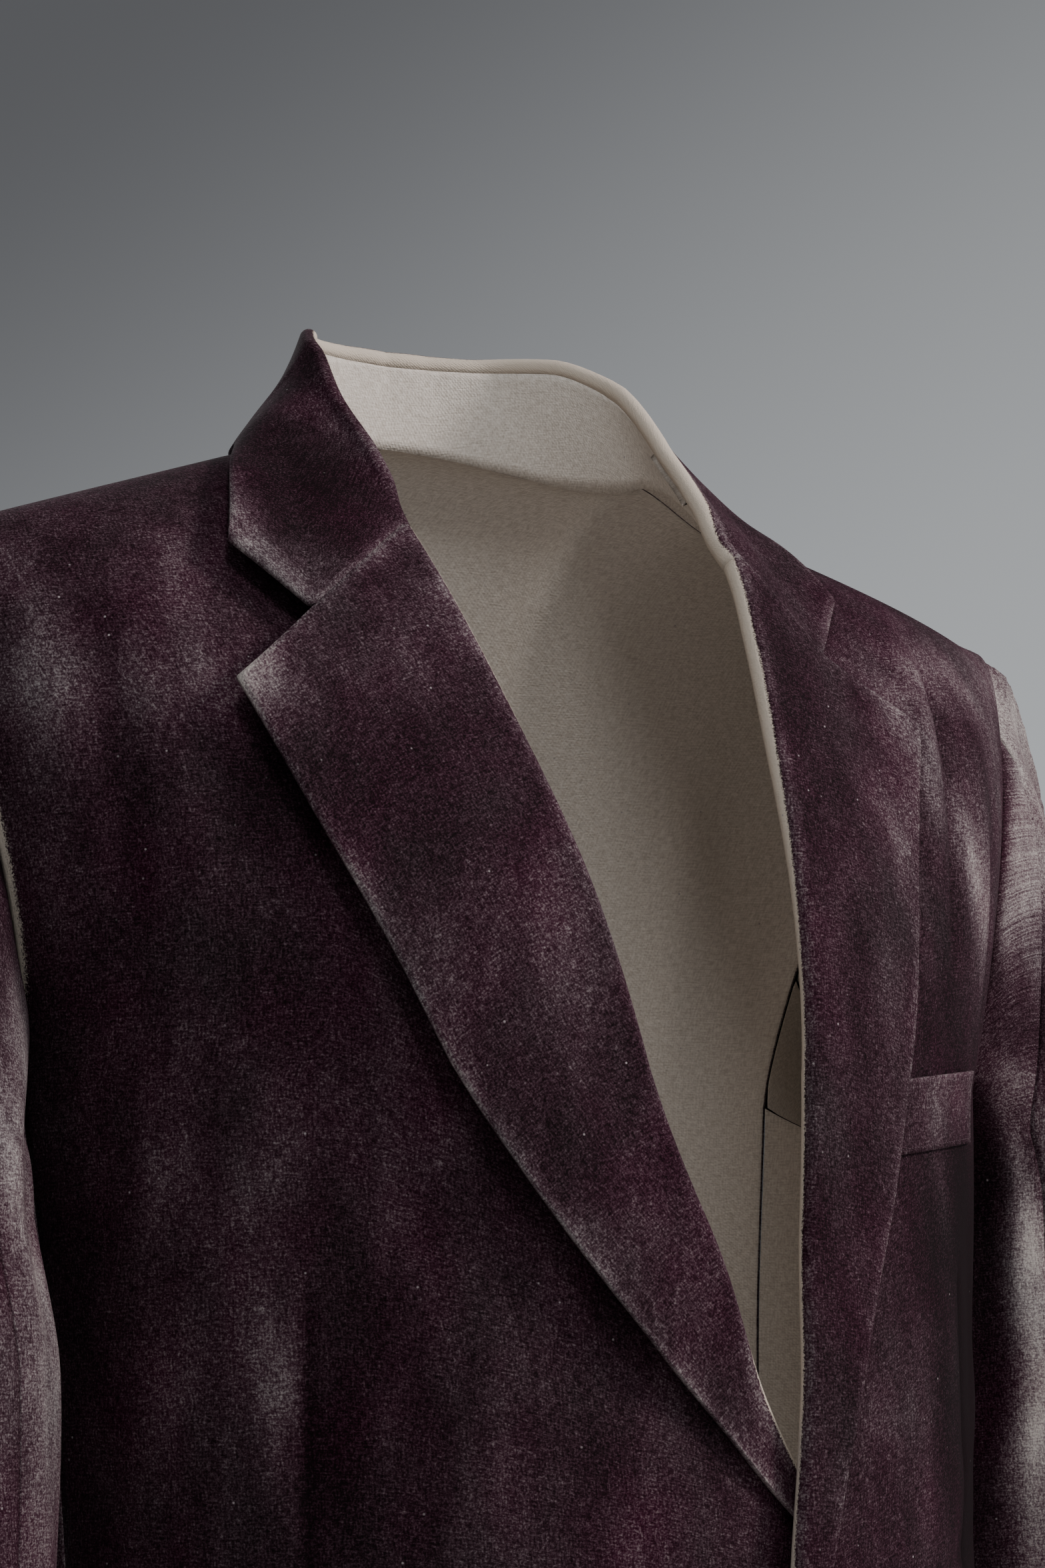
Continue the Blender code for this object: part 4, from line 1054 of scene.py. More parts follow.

# faded places of each piece, with painted highlights and painted shade among them: across, level,
# half width, half height, lean in degrees, strength (a darker place is below zero); lengths in mm
FADED_AND_PAINTED_LIGHT = {
    "front_left": (
        # painted highlights along fold ridges at (141, -120) and (91, -363); painted shade beside
        # the sleeve at (110, -318), (103, -364), (138, -350) and (170, -340)
        (141, -120, 9, 25, -8, 0.42), (128, -84, 16, 14, 0, 0.26), (165, -164, 13, 26, 0, 0.58),
        (181, -106, 12, 18, 0, -0.15), (170, -73, 18, 12, 0, 0.3), (220, -74, 16, 14, 0, 0.5),
        (159, -142, 6, 22, 0, 0.3), (200, -112, 9, 30, 0, 0.36), (190, -84, 10, 10, 0, 0.2),
        (118, -268, 8, 24, 0, 0.1), (91, -363, 6, 26, 0, 0.22), (68, -351, 16, 20, 0, 0.2),
        (50, -380, 16, 16, 0, 0.12), (110, -318, 12, 28, 0, -0.26), (103, -364, 14, 34, 0, -0.32),
        (138, -350, 14, 120, 0, -0.45), (170, -340, 26, 100, 0, -0.6),
        (116, -214, 16, 20, 0, -0.28), (98, -292, 16, 28, 0, -0.28), (150, -440, 30, 34, 0, 0.18),
        (70, -470, 24, 40, 0, -0.15), (120, -540, 34, 50, 0, 0.2), (60, -640, 28, 40, 0, 0.24),
        (160, -680, 30, 36, 0, 0.18), (30, -700, 16, 30, 0, 0.2),
    ),
    "front_right": (
        # the places below zero on this front are painted shade
        (199, -108, 12, 26, 0, 0.22), (166, -106, 40, 13, 0, 0.22), (149, -69, 13, 26, 0, 0.2),
        (203, -65, 12, 22, 0, 0.25), (174, -80, 14, 12, 0, -0.12), (146, -140, 30, 20, 0, -0.1),
        (150, -200, 50, 40, 0, -0.14), (189, -187, 20, 30, 0, -0.1), (151, -268, 18, 15, 0, 0.2),
        (141, -318, 9, 22, 0, 0.32), (138, -338, 6, 26, 0, 0.22), (109, -285, 8, 14, 0, 0.12),
        (171, -326, 12, 20, 0, 0.08), (124, -345, 6, 40, 0, -0.12), (182, -300, 12, 60, 0, -0.15),
        (60, -420, 24, 26, 0, 0.1), (150, -470, 30, 40, 0, 0.2), (60, -560, 30, 46, 0, 0.16),
        (120, -640, 34, 36, 0, -0.12), (170, -690, 26, 40, 0, 0.22), (20, -690, 26, 34, 0, 0.16),
    ),
    "lapel_right": (
        (141, -105, 13, 11, 20, 0.52), (72, -80, 13, 16, 0, 0.26), (95, -98, 22, 12, 0, 0.23),
        (58, -188, 20, 34, 10, 0.09), (50, -202, 13, 26, 10, 0.17), (50, -298, 15, 16, 0, 0.26),
        (24, -262, 12, 30, 20, 0.1), (110, -140, 16, 22, 0, -0.07), (84, -160, 18, 26, 0, -0.08),
    ),
    "lapel_left": (
        (124, -106, 10, 20, 0, 0.42), (60, -92, 15, 22, 0, -0.16), (62, -162, 13, 40, 0, -0.04),
        (66, -236, 16, 34, 0, 0.1), (38, -312, 14, 30, 0, -0.1), (103, -151, 9, 22, 0, 0.26),
        (86, -207, 8, 20, 0, 0.12), (78, -160, 18, 34, 0, -0.06), (46, -305, 14, 20, 0, 0.1),
        (77, -269, 9, 26, 0, 0.08), (44, -390, 10, 24, 0, 0.16),
    ),
    "collar_fall": (
        # (-94, -30) below zero is painted shade, the shadow that a neck would cast on the collar
        (-135, -55, 9, 8, 0, 0.4), (-72, -10, 7, 18, 20, 0.36), (-94, -30, 26, 24, 0, -0.26),
        (-128, -50, 8, 20, 0, 0.3), (-120, -70, 20, 9, 30, 0.4), (74, -40, 12, 14, 0, 0.14),
        (95, -54, 12, 10, 0, 0.1), (0, 30, 40, 16, 0, 0.12), (-50, 20, 16, 16, 0, -0.15),
        (60, 4, 12, 12, 0, 0.2),
    ),
    "breast_welt": (
        (112, -244, 8, 15, 0, 0.42), (136, -238, 9, 10, 0, 0.16), (150, -234, 6, 8, 0, 0.2),
    ),
    "top_sleeve_left": (
        (20, -100, 28, 50, 0, 0.72), (6, -78, 24, 26, 0, 0.42), (44, -150, 15, 34, 4, 0.5),
        (66, -215, 20, 36, 0, -0.15), (82, -292, 9, 50, 0, 0.85), (50, -330, 22, 30, 0, 0.25),
        (0, -240, 30, 60, 0, 0.2), (70, -380, 14, 30, 0, 0.5), (20, -420, 30, 30, 0, 0.3),
        (-30, -500, 34, 50, 0, 0.25), (40, -560, 30, 44, 0, 0.35), (0, -650, 34, 30, 0, 0.4),
        (-30, -140, 26, 50, 0, 0.3),
    ),
    "top_sleeve_right": (
        (70, -120, 22, 44, 0, 0.25), (40, -80, 26, 24, 0, 0.4), (80, -330, 9, 44, 0, 0.3),
        (60, -262, 14, 22, 0, -0.15), (30, -300, 26, 50, 0, 0.3), (10, -200, 30, 50, 0, 0.2),
        (74, -430, 14, 40, 0, 0.3), (20, -460, 30, 36, 0, 0.25), (50, -560, 26, 40, 0, 0.35),
        (0, -640, 34, 34, 0, 0.3), (-34, -400, 30, 60, 0, 0.25),
    ),
    "under_sleeve_left": (
        (38, -122, 32, 36, 0, 0.84), (62, -162, 18, 26, 0, 0.55), (72, -200, 18, 12, 0, 0.08),
        (87, -230, 9, 13, 0, 0.42), (97, -258, 3.5, 16, 2, 0.42), (95, -292, 6, 20, 0, 0.85),
        (93, -322, 7, 16, 0, 0.8), (95, -362, 6, 24, 0, 0.9), (99, -410, 7, 28, 0, 0.6),
        (114, -310, 7, 110, 0, -0.22), (140, -440, 26, 40, 0, 0.2), (110, -520, 22, 40, 0, 0.3),
        (120, -640, 26, 34, 0, 0.35),
    ),
    "under_sleeve_right": (
        (90, -225, 9, 26, 0, 0.3), (104, -270, 16, 74, 0, 0.5), (106, -340, 16, 36, 0, 0.36),
        (80, -250, 10, 40, 0, 0.1), (130, -300, 18, 50, 0, 0.3), (140, -450, 26, 40, 0, 0.2),
        (108, -500, 22, 36, 0, 0.35), (124, -620, 26, 40, 0, 0.3), (90, -400, 10, 30, 0, 0.25),
    ),
    "back_left": (
        (160, -60, 40, 18, 0, 0.2), (60, -60, 30, 40, 0, 0.1), (120, -180, 40, 50, 0, -0.12),
        (60, -300, 30, 60, 0, 0.15), (140, -380, 34, 40, 0, 0.17), (30, -480, 24, 50, 0, -0.1),
        (110, -560, 40, 46, 0, 0.15), (50, -680, 34, 40, 0, 0.2), (160, -690, 26, 34, 0, 0.17),
    ),
    "back_right": (
        (150, -66, 40, 20, 0, 0.17), (70, -90, 34, 40, 0, -0.1), (140, -210, 36, 50, 0, 0.15),
        (40, -260, 26, 60, 0, 0.1), (110, -400, 40, 40, 0, 0.15), (60, -520, 30, 50, 0, 0.17),
        (150, -560, 30, 46, 0, -0.1), (100, -690, 40, 34, 0, 0.2), (20, -650, 20, 60, 0, 0.15),
    ),
    "side_body_left": (
        (186, -340, 16, 50, 0, 0.15), (190, -520, 16, 60, 0, 0.15), (196, -690, 14, 36, 0, 0.2),
    ),
    "side_body_right": (
        (186, -300, 16, 50, 0, 0.15), (190, -480, 16, 50, 0, 0.15), (196, -680, 14, 40, 0, 0.2),
    ),
}


# Shells of cloth with their folds and wear, and painted light and shade

# shares of a fold's length between which it rises and dies away
FOLD_RISES = (-0.2, 0.3)
FOLD_DIES = (0.65, 1.2)
# how sharply a place of the table ends
PLACE_SHARPNESS = 0.8


def fold_relief(folds, across, level):
    """Height of the soft ridges and troughs that a piece's table gives."""
    relief = np.zeros(across.shape)
    for start_across, start_level, end_across, end_level, bend, width, height in folds:
        length = math.hypot(end_across - start_across, end_level - start_level)
        lead = ((end_across - start_across) / length, (end_level - start_level) / length)
        step_across, step_level = across / MM - start_across, level / MM - start_level
        along = (step_across * lead[0] + step_level * lead[1]) / length
        aside = step_level * lead[0] - step_across * lead[1] - bend * 4 * along * (1 - along)
        ends = smooth(*FOLD_RISES, along) * (1 - smooth(*FOLD_DIES, along))
        relief = relief + height * MM * ends * np.exp(-(aside / width) ** 2)
    return relief


def fading_and_painted_light_places(places, across, level):
    """How far the dye has worn off, with the painted highlights and painted shade, from the places
    in a piece's table.
    """
    fading_and_painted_light = np.zeros(across.shape)
    for middle, middle_level, half_across, half_level, lean, strength in places:
        turn = math.radians(lean)
        step_across, step_level = across / MM - middle, level / MM - middle_level
        wide = (step_across * math.cos(turn) + step_level * math.sin(turn)) / half_across
        tall = (step_level * math.cos(turn) - step_across * math.sin(turn)) / half_level
        fading_and_painted_light = fading_and_painted_light + strength * np.exp(-(wide ** 2 + tall ** 2) * PLACE_SHARPNESS)
    return fading_and_painted_light


def border_reach(grid):
    """Distance of each point from its grid's borders, along the cloth."""
    across = np.linalg.norm(np.diff(grid, axis=1), axis=2)
    along = np.linalg.norm(np.diff(grid, axis=0), axis=2)
    left = np.pad(np.cumsum(across, 1), ((0, 0), (1, 0)))
    low = np.pad(np.cumsum(along, 0), ((1, 0), (0, 0)))
    return {"left": left, "right": left[:, -1:] - left, "low": low, "top": low[-1:] - low}


def grid_normals(grid):
    """Outward normals of a grid of points."""
    return unit(np.cross(np.gradient(grid, axis=1), np.gradient(grid, axis=0)))


# how deep and how wide a seam sinks into the cloth, and how far folds keep off
SEAM_SINK = 0.9 * MM
SEAM_REACH = 2.6 * MM
SEAM_CALM = 14 * MM
# wear from a worn border inwards, and on each millimetre of a fold's height: rubbed wear on ridges
# and painted shade in troughs
WEAR_REACH = 2.4 * MM
RIDGE_WEAR_AND_TROUGH_SHADE = 0.05
# line of the dart's seam: depth, half width, length of its ends, darkness
DART_SINK = 0.9 * MM
DART_REACH = 1.4 * MM
DART_ENDS = 10 * MM
DART_DARK = 0.3


def dress(name, grid, sewn, worn, across=None):
    """Cloth grid with its folds and sunk seams, and what its shader needs."""
    across = np.abs(grid[..., 0]) if across is None else across
    level = grid[..., 2]
    reach = border_reach(grid)
    relief = fold_relief(FOLDS.get(name, ()), across, level)
    near_seam = np.full(across.shape, 1.0)
    for border in sewn:
        near_seam = np.minimum(near_seam, reach[border])
    calm = smooth(0, SEAM_CALM, near_seam)
    dart = np.zeros(across.shape)
    if name.startswith("front"):
        sewn_up = smooth(DART_TOP, DART_TOP - DART_ENDS, level)
        sewn_up = sewn_up * smooth(DART_FOOT, DART_FOOT + DART_ENDS, level)
        dart = sewn_up * np.exp(-((across - DART) / DART_REACH) ** 2)
    sink = SEAM_SINK * np.exp(-near_seam / SEAM_REACH)
    shaped = grid + grid_normals(grid) * (relief * calm - sink - DART_SINK * dart)[..., None]
    wear = np.zeros(across.shape)
    for border in worn:
        wear = np.maximum(wear, np.exp(-reach[border] / WEAR_REACH))
    fading_and_painted_light = fading_and_painted_light_places(FADED_AND_PAINTED_LIGHT.get(name, ()), across, level)
    # ridges lighten as rubbed wear, troughs darken as painted shade
    fading_and_painted_light = fading_and_painted_light + RIDGE_WEAR_AND_TROUGH_SHADE * relief / MM - DART_DARK * dart
    return {"points": shaped, "fading_and_painted_light": fading_and_painted_light, "wear": wear, "bare": np.zeros(across.shape),
            "weave": np.stack([reach["left"], reach["low"]], -1), "reach": reach}


def placed(name, data):
    """A new object of the scene."""
    item = bpy.data.objects.new(name, data)
    bpy.context.scene.collection.objects.link(item)
    return item


def cloth(name, dressed, materials, thickness=WALL):
    """A thin shell of cloth that takes the place of its solid."""
    points = dressed["points"]
    rows, columns = points.shape[:2]
    index = np.arange(rows * columns).reshape(rows, columns)
    corners = [index[:-1, :-1], index[:-1, 1:], index[1:, 1:], index[1:, :-1]]
    faces = np.stack(corners, -1).reshape(-1, 4)
    data = bpy.data.meshes.new(name + "_cloth")
    data.from_pydata(points.reshape(-1, 3).tolist(), [], faces.tolist())
    weave = data.uv_layers.new(name="weave")
    weave.data.foreach_set("uv", dressed["weave"].reshape(-1, 2)[faces.reshape(-1)].ravel())
    for key in ("fading_and_painted_light", "wear", "bare"):
        layer = data.attributes.new(key, "FLOAT", "POINT")
        layer.data.foreach_set("value", dressed[key].ravel())
    data.polygons.foreach_set("use_smooth", [True] * len(faces))
    for item in materials:
        data.materials.append(item)
    piece = placed(name + "_cloth", data)
    wall = piece.modifiers.new("wall", "SOLIDIFY")
    wall.thickness = thickness
    wall.offset = -1.0
    wall.material_offset = 1
    wall.material_offset_rim = 2
    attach(piece, "root")
    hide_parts(name)
    return piece


# Materials


def linear(colour):
    """Linear values of an sRGB hex colour."""
    parts = [int(colour[k:k + 2], 16) / 255 for k in (1, 3, 5)]
    parts = [part / 12.92 if part <= 0.04045 else ((part + 0.055) / 1.055) ** 2.4 for part in parts]
    return (*parts, 1.0)


def feed(node, inputs):
    """Set each input of a node, or link it where it is another node's output."""
    for key, value in inputs.items():
        if isinstance(value, bpy.types.NodeSocket):
            node.id_data.links.new(value, node.inputs[key])
        else:
            node.inputs[key].default_value = value


def add(tree, kind, inputs, output=0, **settings):
    """Output of a new node with its inputs and settings."""
    node = tree.nodes.new("ShaderNode" + kind)
    for key, value in settings.items():
        setattr(node, key, value)
    feed(node, inputs)
    return node.outputs[output]


def new_material(name):
    """A material with its tree of nodes and its shader."""
    item = bpy.data.materials.new(name)
    item.use_nodes = True
    return item, item.node_tree, item.node_tree.nodes["Principled BSDF"]


# the Mix node's sockets for colours: its two inputs and its output
FIRST, SECOND, BLEND = 6, 7, 2
# setting of a Map Range node that eases its value from 0 to 1
SOFTLY = {"interpolation_type": "SMOOTHSTEP"}

# real sizes in the cloth: the twill's step is drawn twice as coarse so that it shows
TWILL = 1.1 * MM
TWILL_SLANT = 52
THREAD = 0.7 * MM
THREAD_DRAWN = 5
GRAIN = 0.75 * MM
NEP_SPACING = 6 * MM
# width of one band of the Wave node at scale 1
WAVE_BAND = 0.314
# marks in the dye: how wide, and how many times longer downwards
CLOUD = 70 * MM
DRIFT = 34 * MM
CLOUD_DRAWN = 1.5
BRUSH = 15 * MM
BRUSH_DRAWN = 2.6

# how strongly each cause lightens the pigment
CLOUD_SHARE = 0.12
BRUSH_SHARE = 0.4
PLACE_SHARE = 0.6
EDGE_SHARE = 0.5
GRAIN_SHARE = 0.32
THREAD_SHARE = 0.42
# where no cause acts, with the mean of the brush marks and of the grain taken off
FRESH = 0.2 - 0.5 * BRUSH_SHARE - 0.4 * GRAIN_SHARE

# pigment from untouched to rubbed away, which painted shade and painted highlights also move along
PIGMENT = ((0.0, "#13090d"), (0.2, "#2e1722"), (0.4, "#4a333e"), (0.6, "#74666a"),
           (0.8, "#9b9291"), (1.0, "#bcb5b0"))


def thread_noise(tree, weave):
    """Uneven warp and weft threads, about zero on the mean."""
    total = -1.0
    for drawn in ((1, 1 / THREAD_DRAWN, 1), (1 / THREAD_DRAWN, 1, 1)):
        lengthwise = add(tree, "Mapping", {"Vector": weave, "Scale": drawn})
        marks = {"Vector": lengthwise, "Scale": 1 / THREAD, "Detail": 1.0}
        uneven = add(tree, "TexNoise", marks)
        total = add(tree, "Math", {0: total, 1: uneven}, operation="ADD")
    return total


def pigment_wear_and_painted_light(tree, body, downwards, grain, threads):
    """How far the pigment has gone: clouds, brush marks, rubbed places and edges, with painted
    light and shade.
    """
    marks = {"Vector": downwards, "Scale": 1 / CLOUD, "Detail": 3.0, "Roughness": 0.55}
    clouds = add(tree, "TexNoise", marks)
    clouds = add(tree, "MapRange", {"Value": clouds, "From Min": 0.4, "From Max": 0.7}, **SOFTLY)
    strokes = add(tree, "Mapping", {"Vector": body, "Scale": (1, 1, 1 / BRUSH_DRAWN)})
    marks = {"Vector": strokes, "Scale": 1 / BRUSH, "Detail": 5.0, "Roughness": 0.62}
    brushed = add(tree, "TexNoise", marks)
    specks = add(tree, "MapRange", {"Value": grain, "From Min": 0.38, "From Max": 0.68}, **SOFTLY)
    causes = [(clouds, CLOUD_SHARE), (brushed, BRUSH_SHARE), (specks, GRAIN_SHARE),
              (threads, THREAD_SHARE)]
    for layer, least, share in (("fading_and_painted_light", 0.5, PLACE_SHARE), ("wear", 0.1, EDGE_SHARE)):
        there = add(tree, "Attribute", {}, "Fac", attribute_name=layer)
        patchy = add(tree, "Math", {0: brushed, 1: least}, operation="ADD")
        causes.append((add(tree, "Math", {0: there, 1: patchy}, operation="MULTIPLY"), share))
    total = FRESH
    for cause, share in causes:
        total = add(tree, "Math", {0: cause, 1: share, 2: total}, operation="MULTIPLY_ADD")
    return total


def dyed_colour(tree, body, grain, threads):
    """Plum pigment that turns lilac and cream where it has been rubbed away, and lighter and darker
    with painted light and shade.
    """
    downwards = add(tree, "Mapping", {"Vector": body, "Scale": (1, 1, 1 / CLOUD_DRAWN)})
    ramp = add(tree, "ValToRGB", {"Fac": pigment_wear_and_painted_light(tree, body, downwards, grain, threads)})
    stops = ramp.node.color_ramp.elements
    while len(stops) < len(PIGMENT):
        stops.new(0.5)
    for stop, (position, colour) in zip(stops, PIGMENT):
        stop.position = position
        stop.color = linear(colour)
    marks = {"Vector": downwards, "Scale": 1 / DRIFT, "Detail": 4.0, "Roughness": 0.6}
    drift = add(tree, "TexNoise", marks)
    strength = add(tree, "Math", {0: drift, 1: 1.3, 2: 0.28}, operation="MULTIPLY_ADD")
    pigment = add(tree, "HueSaturation", {"Saturation": strength, "Color": ramp})
    bare = add(tree, "Attribute", {}, "Fac", attribute_name="bare")
    frayed = add(tree, "Math", {0: grain, 1: 1.3, 2: bare}, operation="MULTIPLY_ADD")
    undyed = add(tree, "MapRange", {"Value": frayed, "From Min": 1.0, "From Max": 1.4}, **SOFTLY)
    colours = {0: undyed, FIRST: pigment, SECOND: linear("#d8ccbd")}
    return add(tree, "Mix", colours, BLEND, data_type="RGBA")


def undyed_colour(tree, grain, threads):
    """Natural cream cotton, a little darker between its threads."""
    tone = add(tree, "Math", {0: grain, 1: 0.8, 2: threads}, operation="MULTIPLY_ADD")
    tone = add(tree, "MapRange", {"Value": tone, "From Min": -0.1, "From Max": 0.9}, **SOFTLY)
    colours = {0: tone, FIRST: linear("#cbc1b6"), SECOND: linear("#f0e9e0")}
    return add(tree, "Mix", colours, BLEND, data_type="RGBA")


def with_neps(tree, body, colour):
    """Small pale knots of fibre, in a quarter of the cells that part the cloth."""
    near = add(tree, "TexVoronoi", {"Vector": body, "Scale": 1 / NEP_SPACING}, "Distance")
    knot = add(tree, "MapRange", {"Value": near, "From Min": 0.09, "From Max": 0.03}, **SOFTLY)
    chosen = add(tree, "SeparateColor", {"Color": near.node.outputs["Color"]}, "Red")
    chosen = add(tree, "MapRange", {"Value": chosen, "From Min": 0.72, "From Max": 1.0}, **SOFTLY)
    share = add(tree, "Math", {0: knot, 1: chosen}, operation="MULTIPLY")
    colours = {0: share, FIRST: colour, SECOND: linear("#a89ea0")}
    return add(tree, "Mix", colours, BLEND, data_type="RGBA")


def twill_relief(tree, weave, grain, threads):
    """Normal of the cloth's face: slanted ribs over uneven threads."""
    turn = (0, 0, math.radians(TWILL_SLANT))
    slanted = add(tree, "Mapping", {"Vector": weave, "Rotation": turn})
    waves = {"Vector": slanted, "Scale": WAVE_BAND / TWILL, "Distortion": 1.5, "Detail": 1.0,
             "Detail Scale": 2.0}
    ribs = add(tree, "TexWave", waves, "Fac", wave_type="BANDS", bands_direction="X")
    uneven = add(tree, "Math", {0: threads, 1: grain}, operation="ADD")
    height = add(tree, "Math", {0: ribs, 1: 0.3, 2: uneven}, operation="MULTIPLY_ADD")
    return add(tree, "Bump", {"Height": height, "Strength": 0.6, "Distance": 0.3 * MM})


def cloth_material(name, dyed):
    """Cotton and linen twill, brushed with pigment on its face or left cream.

    The eye gets a dull face almost without gloss, fine slanted ribs, uneven
    threads, small pale knots and, on the dyed side, clouds, rubbed places and painted light and
    shade.
    """
    item, tree, shader = new_material(name)
    weave = add(tree, "UVMap", {}, uv_map="weave")
    body = add(tree, "TexCoord", {}, "Object")
    marks = {"Vector": body, "Scale": 1 / GRAIN, "Detail": 3.0, "Roughness": 0.7}
    grain = add(tree, "TexNoise", marks)
    threads = thread_noise(tree, weave)
    colour = (dyed_colour(tree, body, grain, threads) if dyed
              else undyed_colour(tree, grain, threads))
    feed(shader, {
        "Base Color": with_neps(tree, body, colour),
        "Normal": twill_relief(tree, weave, grain, threads),
        "Roughness": add(tree, "MapRange", {"Value": grain, "To Min": 0.7, "To Max": 0.92}),
        "IOR": 1.5,
        "Specular IOR Level": 0.06,
        "Sheen Weight": 0.025,
        "Sheen Roughness": 0.5,
        "Sheen Tint": linear("#b893a2" if dyed else "#e6dccf"),
    })
    return item


def streaked(tree, grain, drawn, detail, band, dark, light):
    """Colour of a solid with streaks or bands through it, from dark to light."""
    body = add(tree, "TexCoord", {}, "Object")
    lengthwise = add(tree, "Mapping", {"Vector": body, "Scale": (1 / drawn, 1, 1)})
    marks = {"Vector": lengthwise, "Scale": 1 / grain, "Detail": detail[0], "Roughness": detail[1]}
    streaks = add(tree, "TexNoise", marks)
    span = {"Value": streaks, "From Min": band[0], "From Max": band[1]}
    share = add(tree, "MapRange", span, **SOFTLY)
    colours = {0: share, FIRST: linear(dark), SECOND: linear(light)}
    return add(tree, "Mix", colours, BLEND, data_type="RGBA")


def horn_material():
    """Polyester resin cast in horn colours and tumbled: brown streaks under a soft gloss."""
    item, tree, shader = new_material("cast_horn_resin")
    colour = streaked(tree, 1.1 * MM, 5, (4.0, 0.6), (0.42, 0.66), "#140d0e", "#44312a")
    feed(shader, {"Base Color": colour, "IOR": 1.54, "Roughness": 0.27})
    return item


def thread_material(name, light, dark):
    """Spun cotton sewing thread: its twist shows as fine light and dark flecks."""
    item, tree, shader = new_material(name)
    colour = streaked(tree, 0.25 * MM, 1, (2.0, 0.5), (0.35, 0.65), dark, light)
    feed(shader, {"Base Color": colour, "Roughness": 0.75, "Sheen Weight": 0.1})
    return item


def floor_material():
    """Studio floor painted matt in one pale grey: it shows the soft shadow alone."""
    item, _, shader = new_material("pale_matt_floor")
    feed(shader, {"Base Color": linear("#cfcdca"), "Roughness": 0.9})
    return item


# Pieces of cloth

OTHER_SIDE = {"left": "right", "right": "left"}


def ordered(grid, side):
    """Columns in the order that makes the outer face look outwards."""
    return grid if side == "left" else grid[:, ::-1]


def swapped(names, side):
    """Border names for a grid whose columns run the other way on the right."""
    return [name if side == "left" else OTHER_SIDE.get(name, name) for name in names]


# borders of each body piece on the left side: the sewn ones and the worn ones
BODY = {
    "front": (("right", "top"), ("left", "right", "top", "low")),
    "side_body": (("left", "right", "top"), ("left", "right", "low")),
    "back": (("left", "right", "top"), ("left", "right", "top", "low")),
}
# undyed line along a front's armhole, from above the arm pit
BARE_EDGE = 3.6 * MM
BARE_STRENGTH = 1.5
BARE_LEVELS = (-225 * MM, -195 * MM)


def make_body(cloths):
    for side in SIDES:
        for kind, (sewn, worn) in BODY.items():
            name = kind + "_" + side
            grid = ordered(PANELS[name], OTHER_SIDE[side] if kind == "back" else side)
            dressed = dress(name, grid, swapped(sewn, side), swapped(worn, side))
            if kind == "front":
                from_seam = dressed["reach"][OTHER_SIDE[side]]
                rubbed = BARE_STRENGTH * np.exp(-(from_seam / BARE_EDGE) ** 2)
                dressed["bare"] = smooth(*BARE_LEVELS, grid[..., 2]) * np.minimum(1, rubbed)
            cloth(name, dressed, cloths)


# how far the outer half of a lapel and the collar's ends stand off the chest,
# which way, and over which reach from the roll and which places ahead
SPRING = {"right": 3.2 * MM, "left": 0.5 * MM}
SPRING_WAY = (0.4, -0.9, 0.1)
SPRING_REACH = (6 * MM, 50 * MM)
SPRING_AHEAD = (-25 * MM, -60 * MM)


def sprung(points, inside, side):
    """Cloth in front of the chest that lifts off it, away from its roll line."""
    way = unit(np.array(SPRING_WAY) * (SIDES[side], 1, 1))
    lift = SPRING[side] * smooth(*SPRING_REACH, inside) * smooth(*SPRING_AHEAD, points[..., 1])
    return points + way * lift[..., None]


# the undyed inside shows as far as the roll's crest, which lies this far in
ROLL_CREST = 6.3 * MM
ROLL_RUBBED = 3 * MM
CREST_FRAY = 1.5 * MM


def bare_crest(dressed, inside, grown, fray, beyond, strength):
    """Undyed cloth up to a roll's crest and a rubbed line just beyond it."""
    crest = ROLL_CREST + grown
    dressed["bare"] = 1 - smooth(crest - CREST_FRAY, crest + fray, inside)
    rubbed = np.exp(-((inside - crest - beyond) / ROLL_RUBBED) ** 2)
    dressed["wear"] = np.maximum(dressed["wear"], strength * rubbed)


# lapel: wear of its edge, and how its crest grows wider between two levels
LAPEL_WEAR = {"right": 1.0, "left": 0.5}
LAPEL_CREST = 3.5 * MM
LAPEL_CREST_LEVELS = (-210 * MM, -90 * MM)


def make_lapels(cloths):
    for side in SIDES:
        grid = ordered(lapel(side), side)[::-1]
        edge, roll = swapped(["right", "left"], side)
        dressed = dress("lapel_" + side, grid, [], [edge, "top", "low"])
        inside = dressed["reach"][roll]
        dressed["wear"] = dressed["wear"] * LAPEL_WEAR[side]
        dressed["points"] = sprung(dressed["points"], inside, side)
        grown = LAPEL_CREST * smooth(*LAPEL_CREST_LEVELS, grid[..., 2])
        bare_crest(dressed, inside, grown, 2 * MM, 2 * MM, 0.6)
        cloth("lapel_" + side, dressed, cloths)


# collar: wear of its edge, and how its crest grows wider towards the left front
COLLAR_WEAR = 0.7
COLLAR_CREST = 5.5 * MM
COLLAR_CREST_REACH = (30 * MM, 70 * MM)


def make_collar(cloths, undyed):
    stand, fall = (grid[:, ::-1] for grid in collar_grids())
    dressed = dress("collar_stand", stand, [], [], stand[..., 0])
    cloth("collar_stand", dressed, undyed)
    dressed = dress("collar_fall", fall, [], ["left", "low", "top"], fall[..., 0])
    inside = dressed["reach"]["right"]
    ends = {side: sprung(dressed["points"], inside, side) for side in SIDES}
    dressed["points"] = np.where(fall[..., :1] < 0, ends["right"], ends["left"])
    dressed["wear"] = dressed["wear"] * COLLAR_WEAR
    at_left = smooth(*COLLAR_CREST_REACH, fall[..., 0])
    bare_crest(dressed, inside, COLLAR_CREST * at_left, 2.5 * MM, 3 * MM, 0.3 + 0.3 * at_left)
    cloth("collar_fall", dressed, cloths)


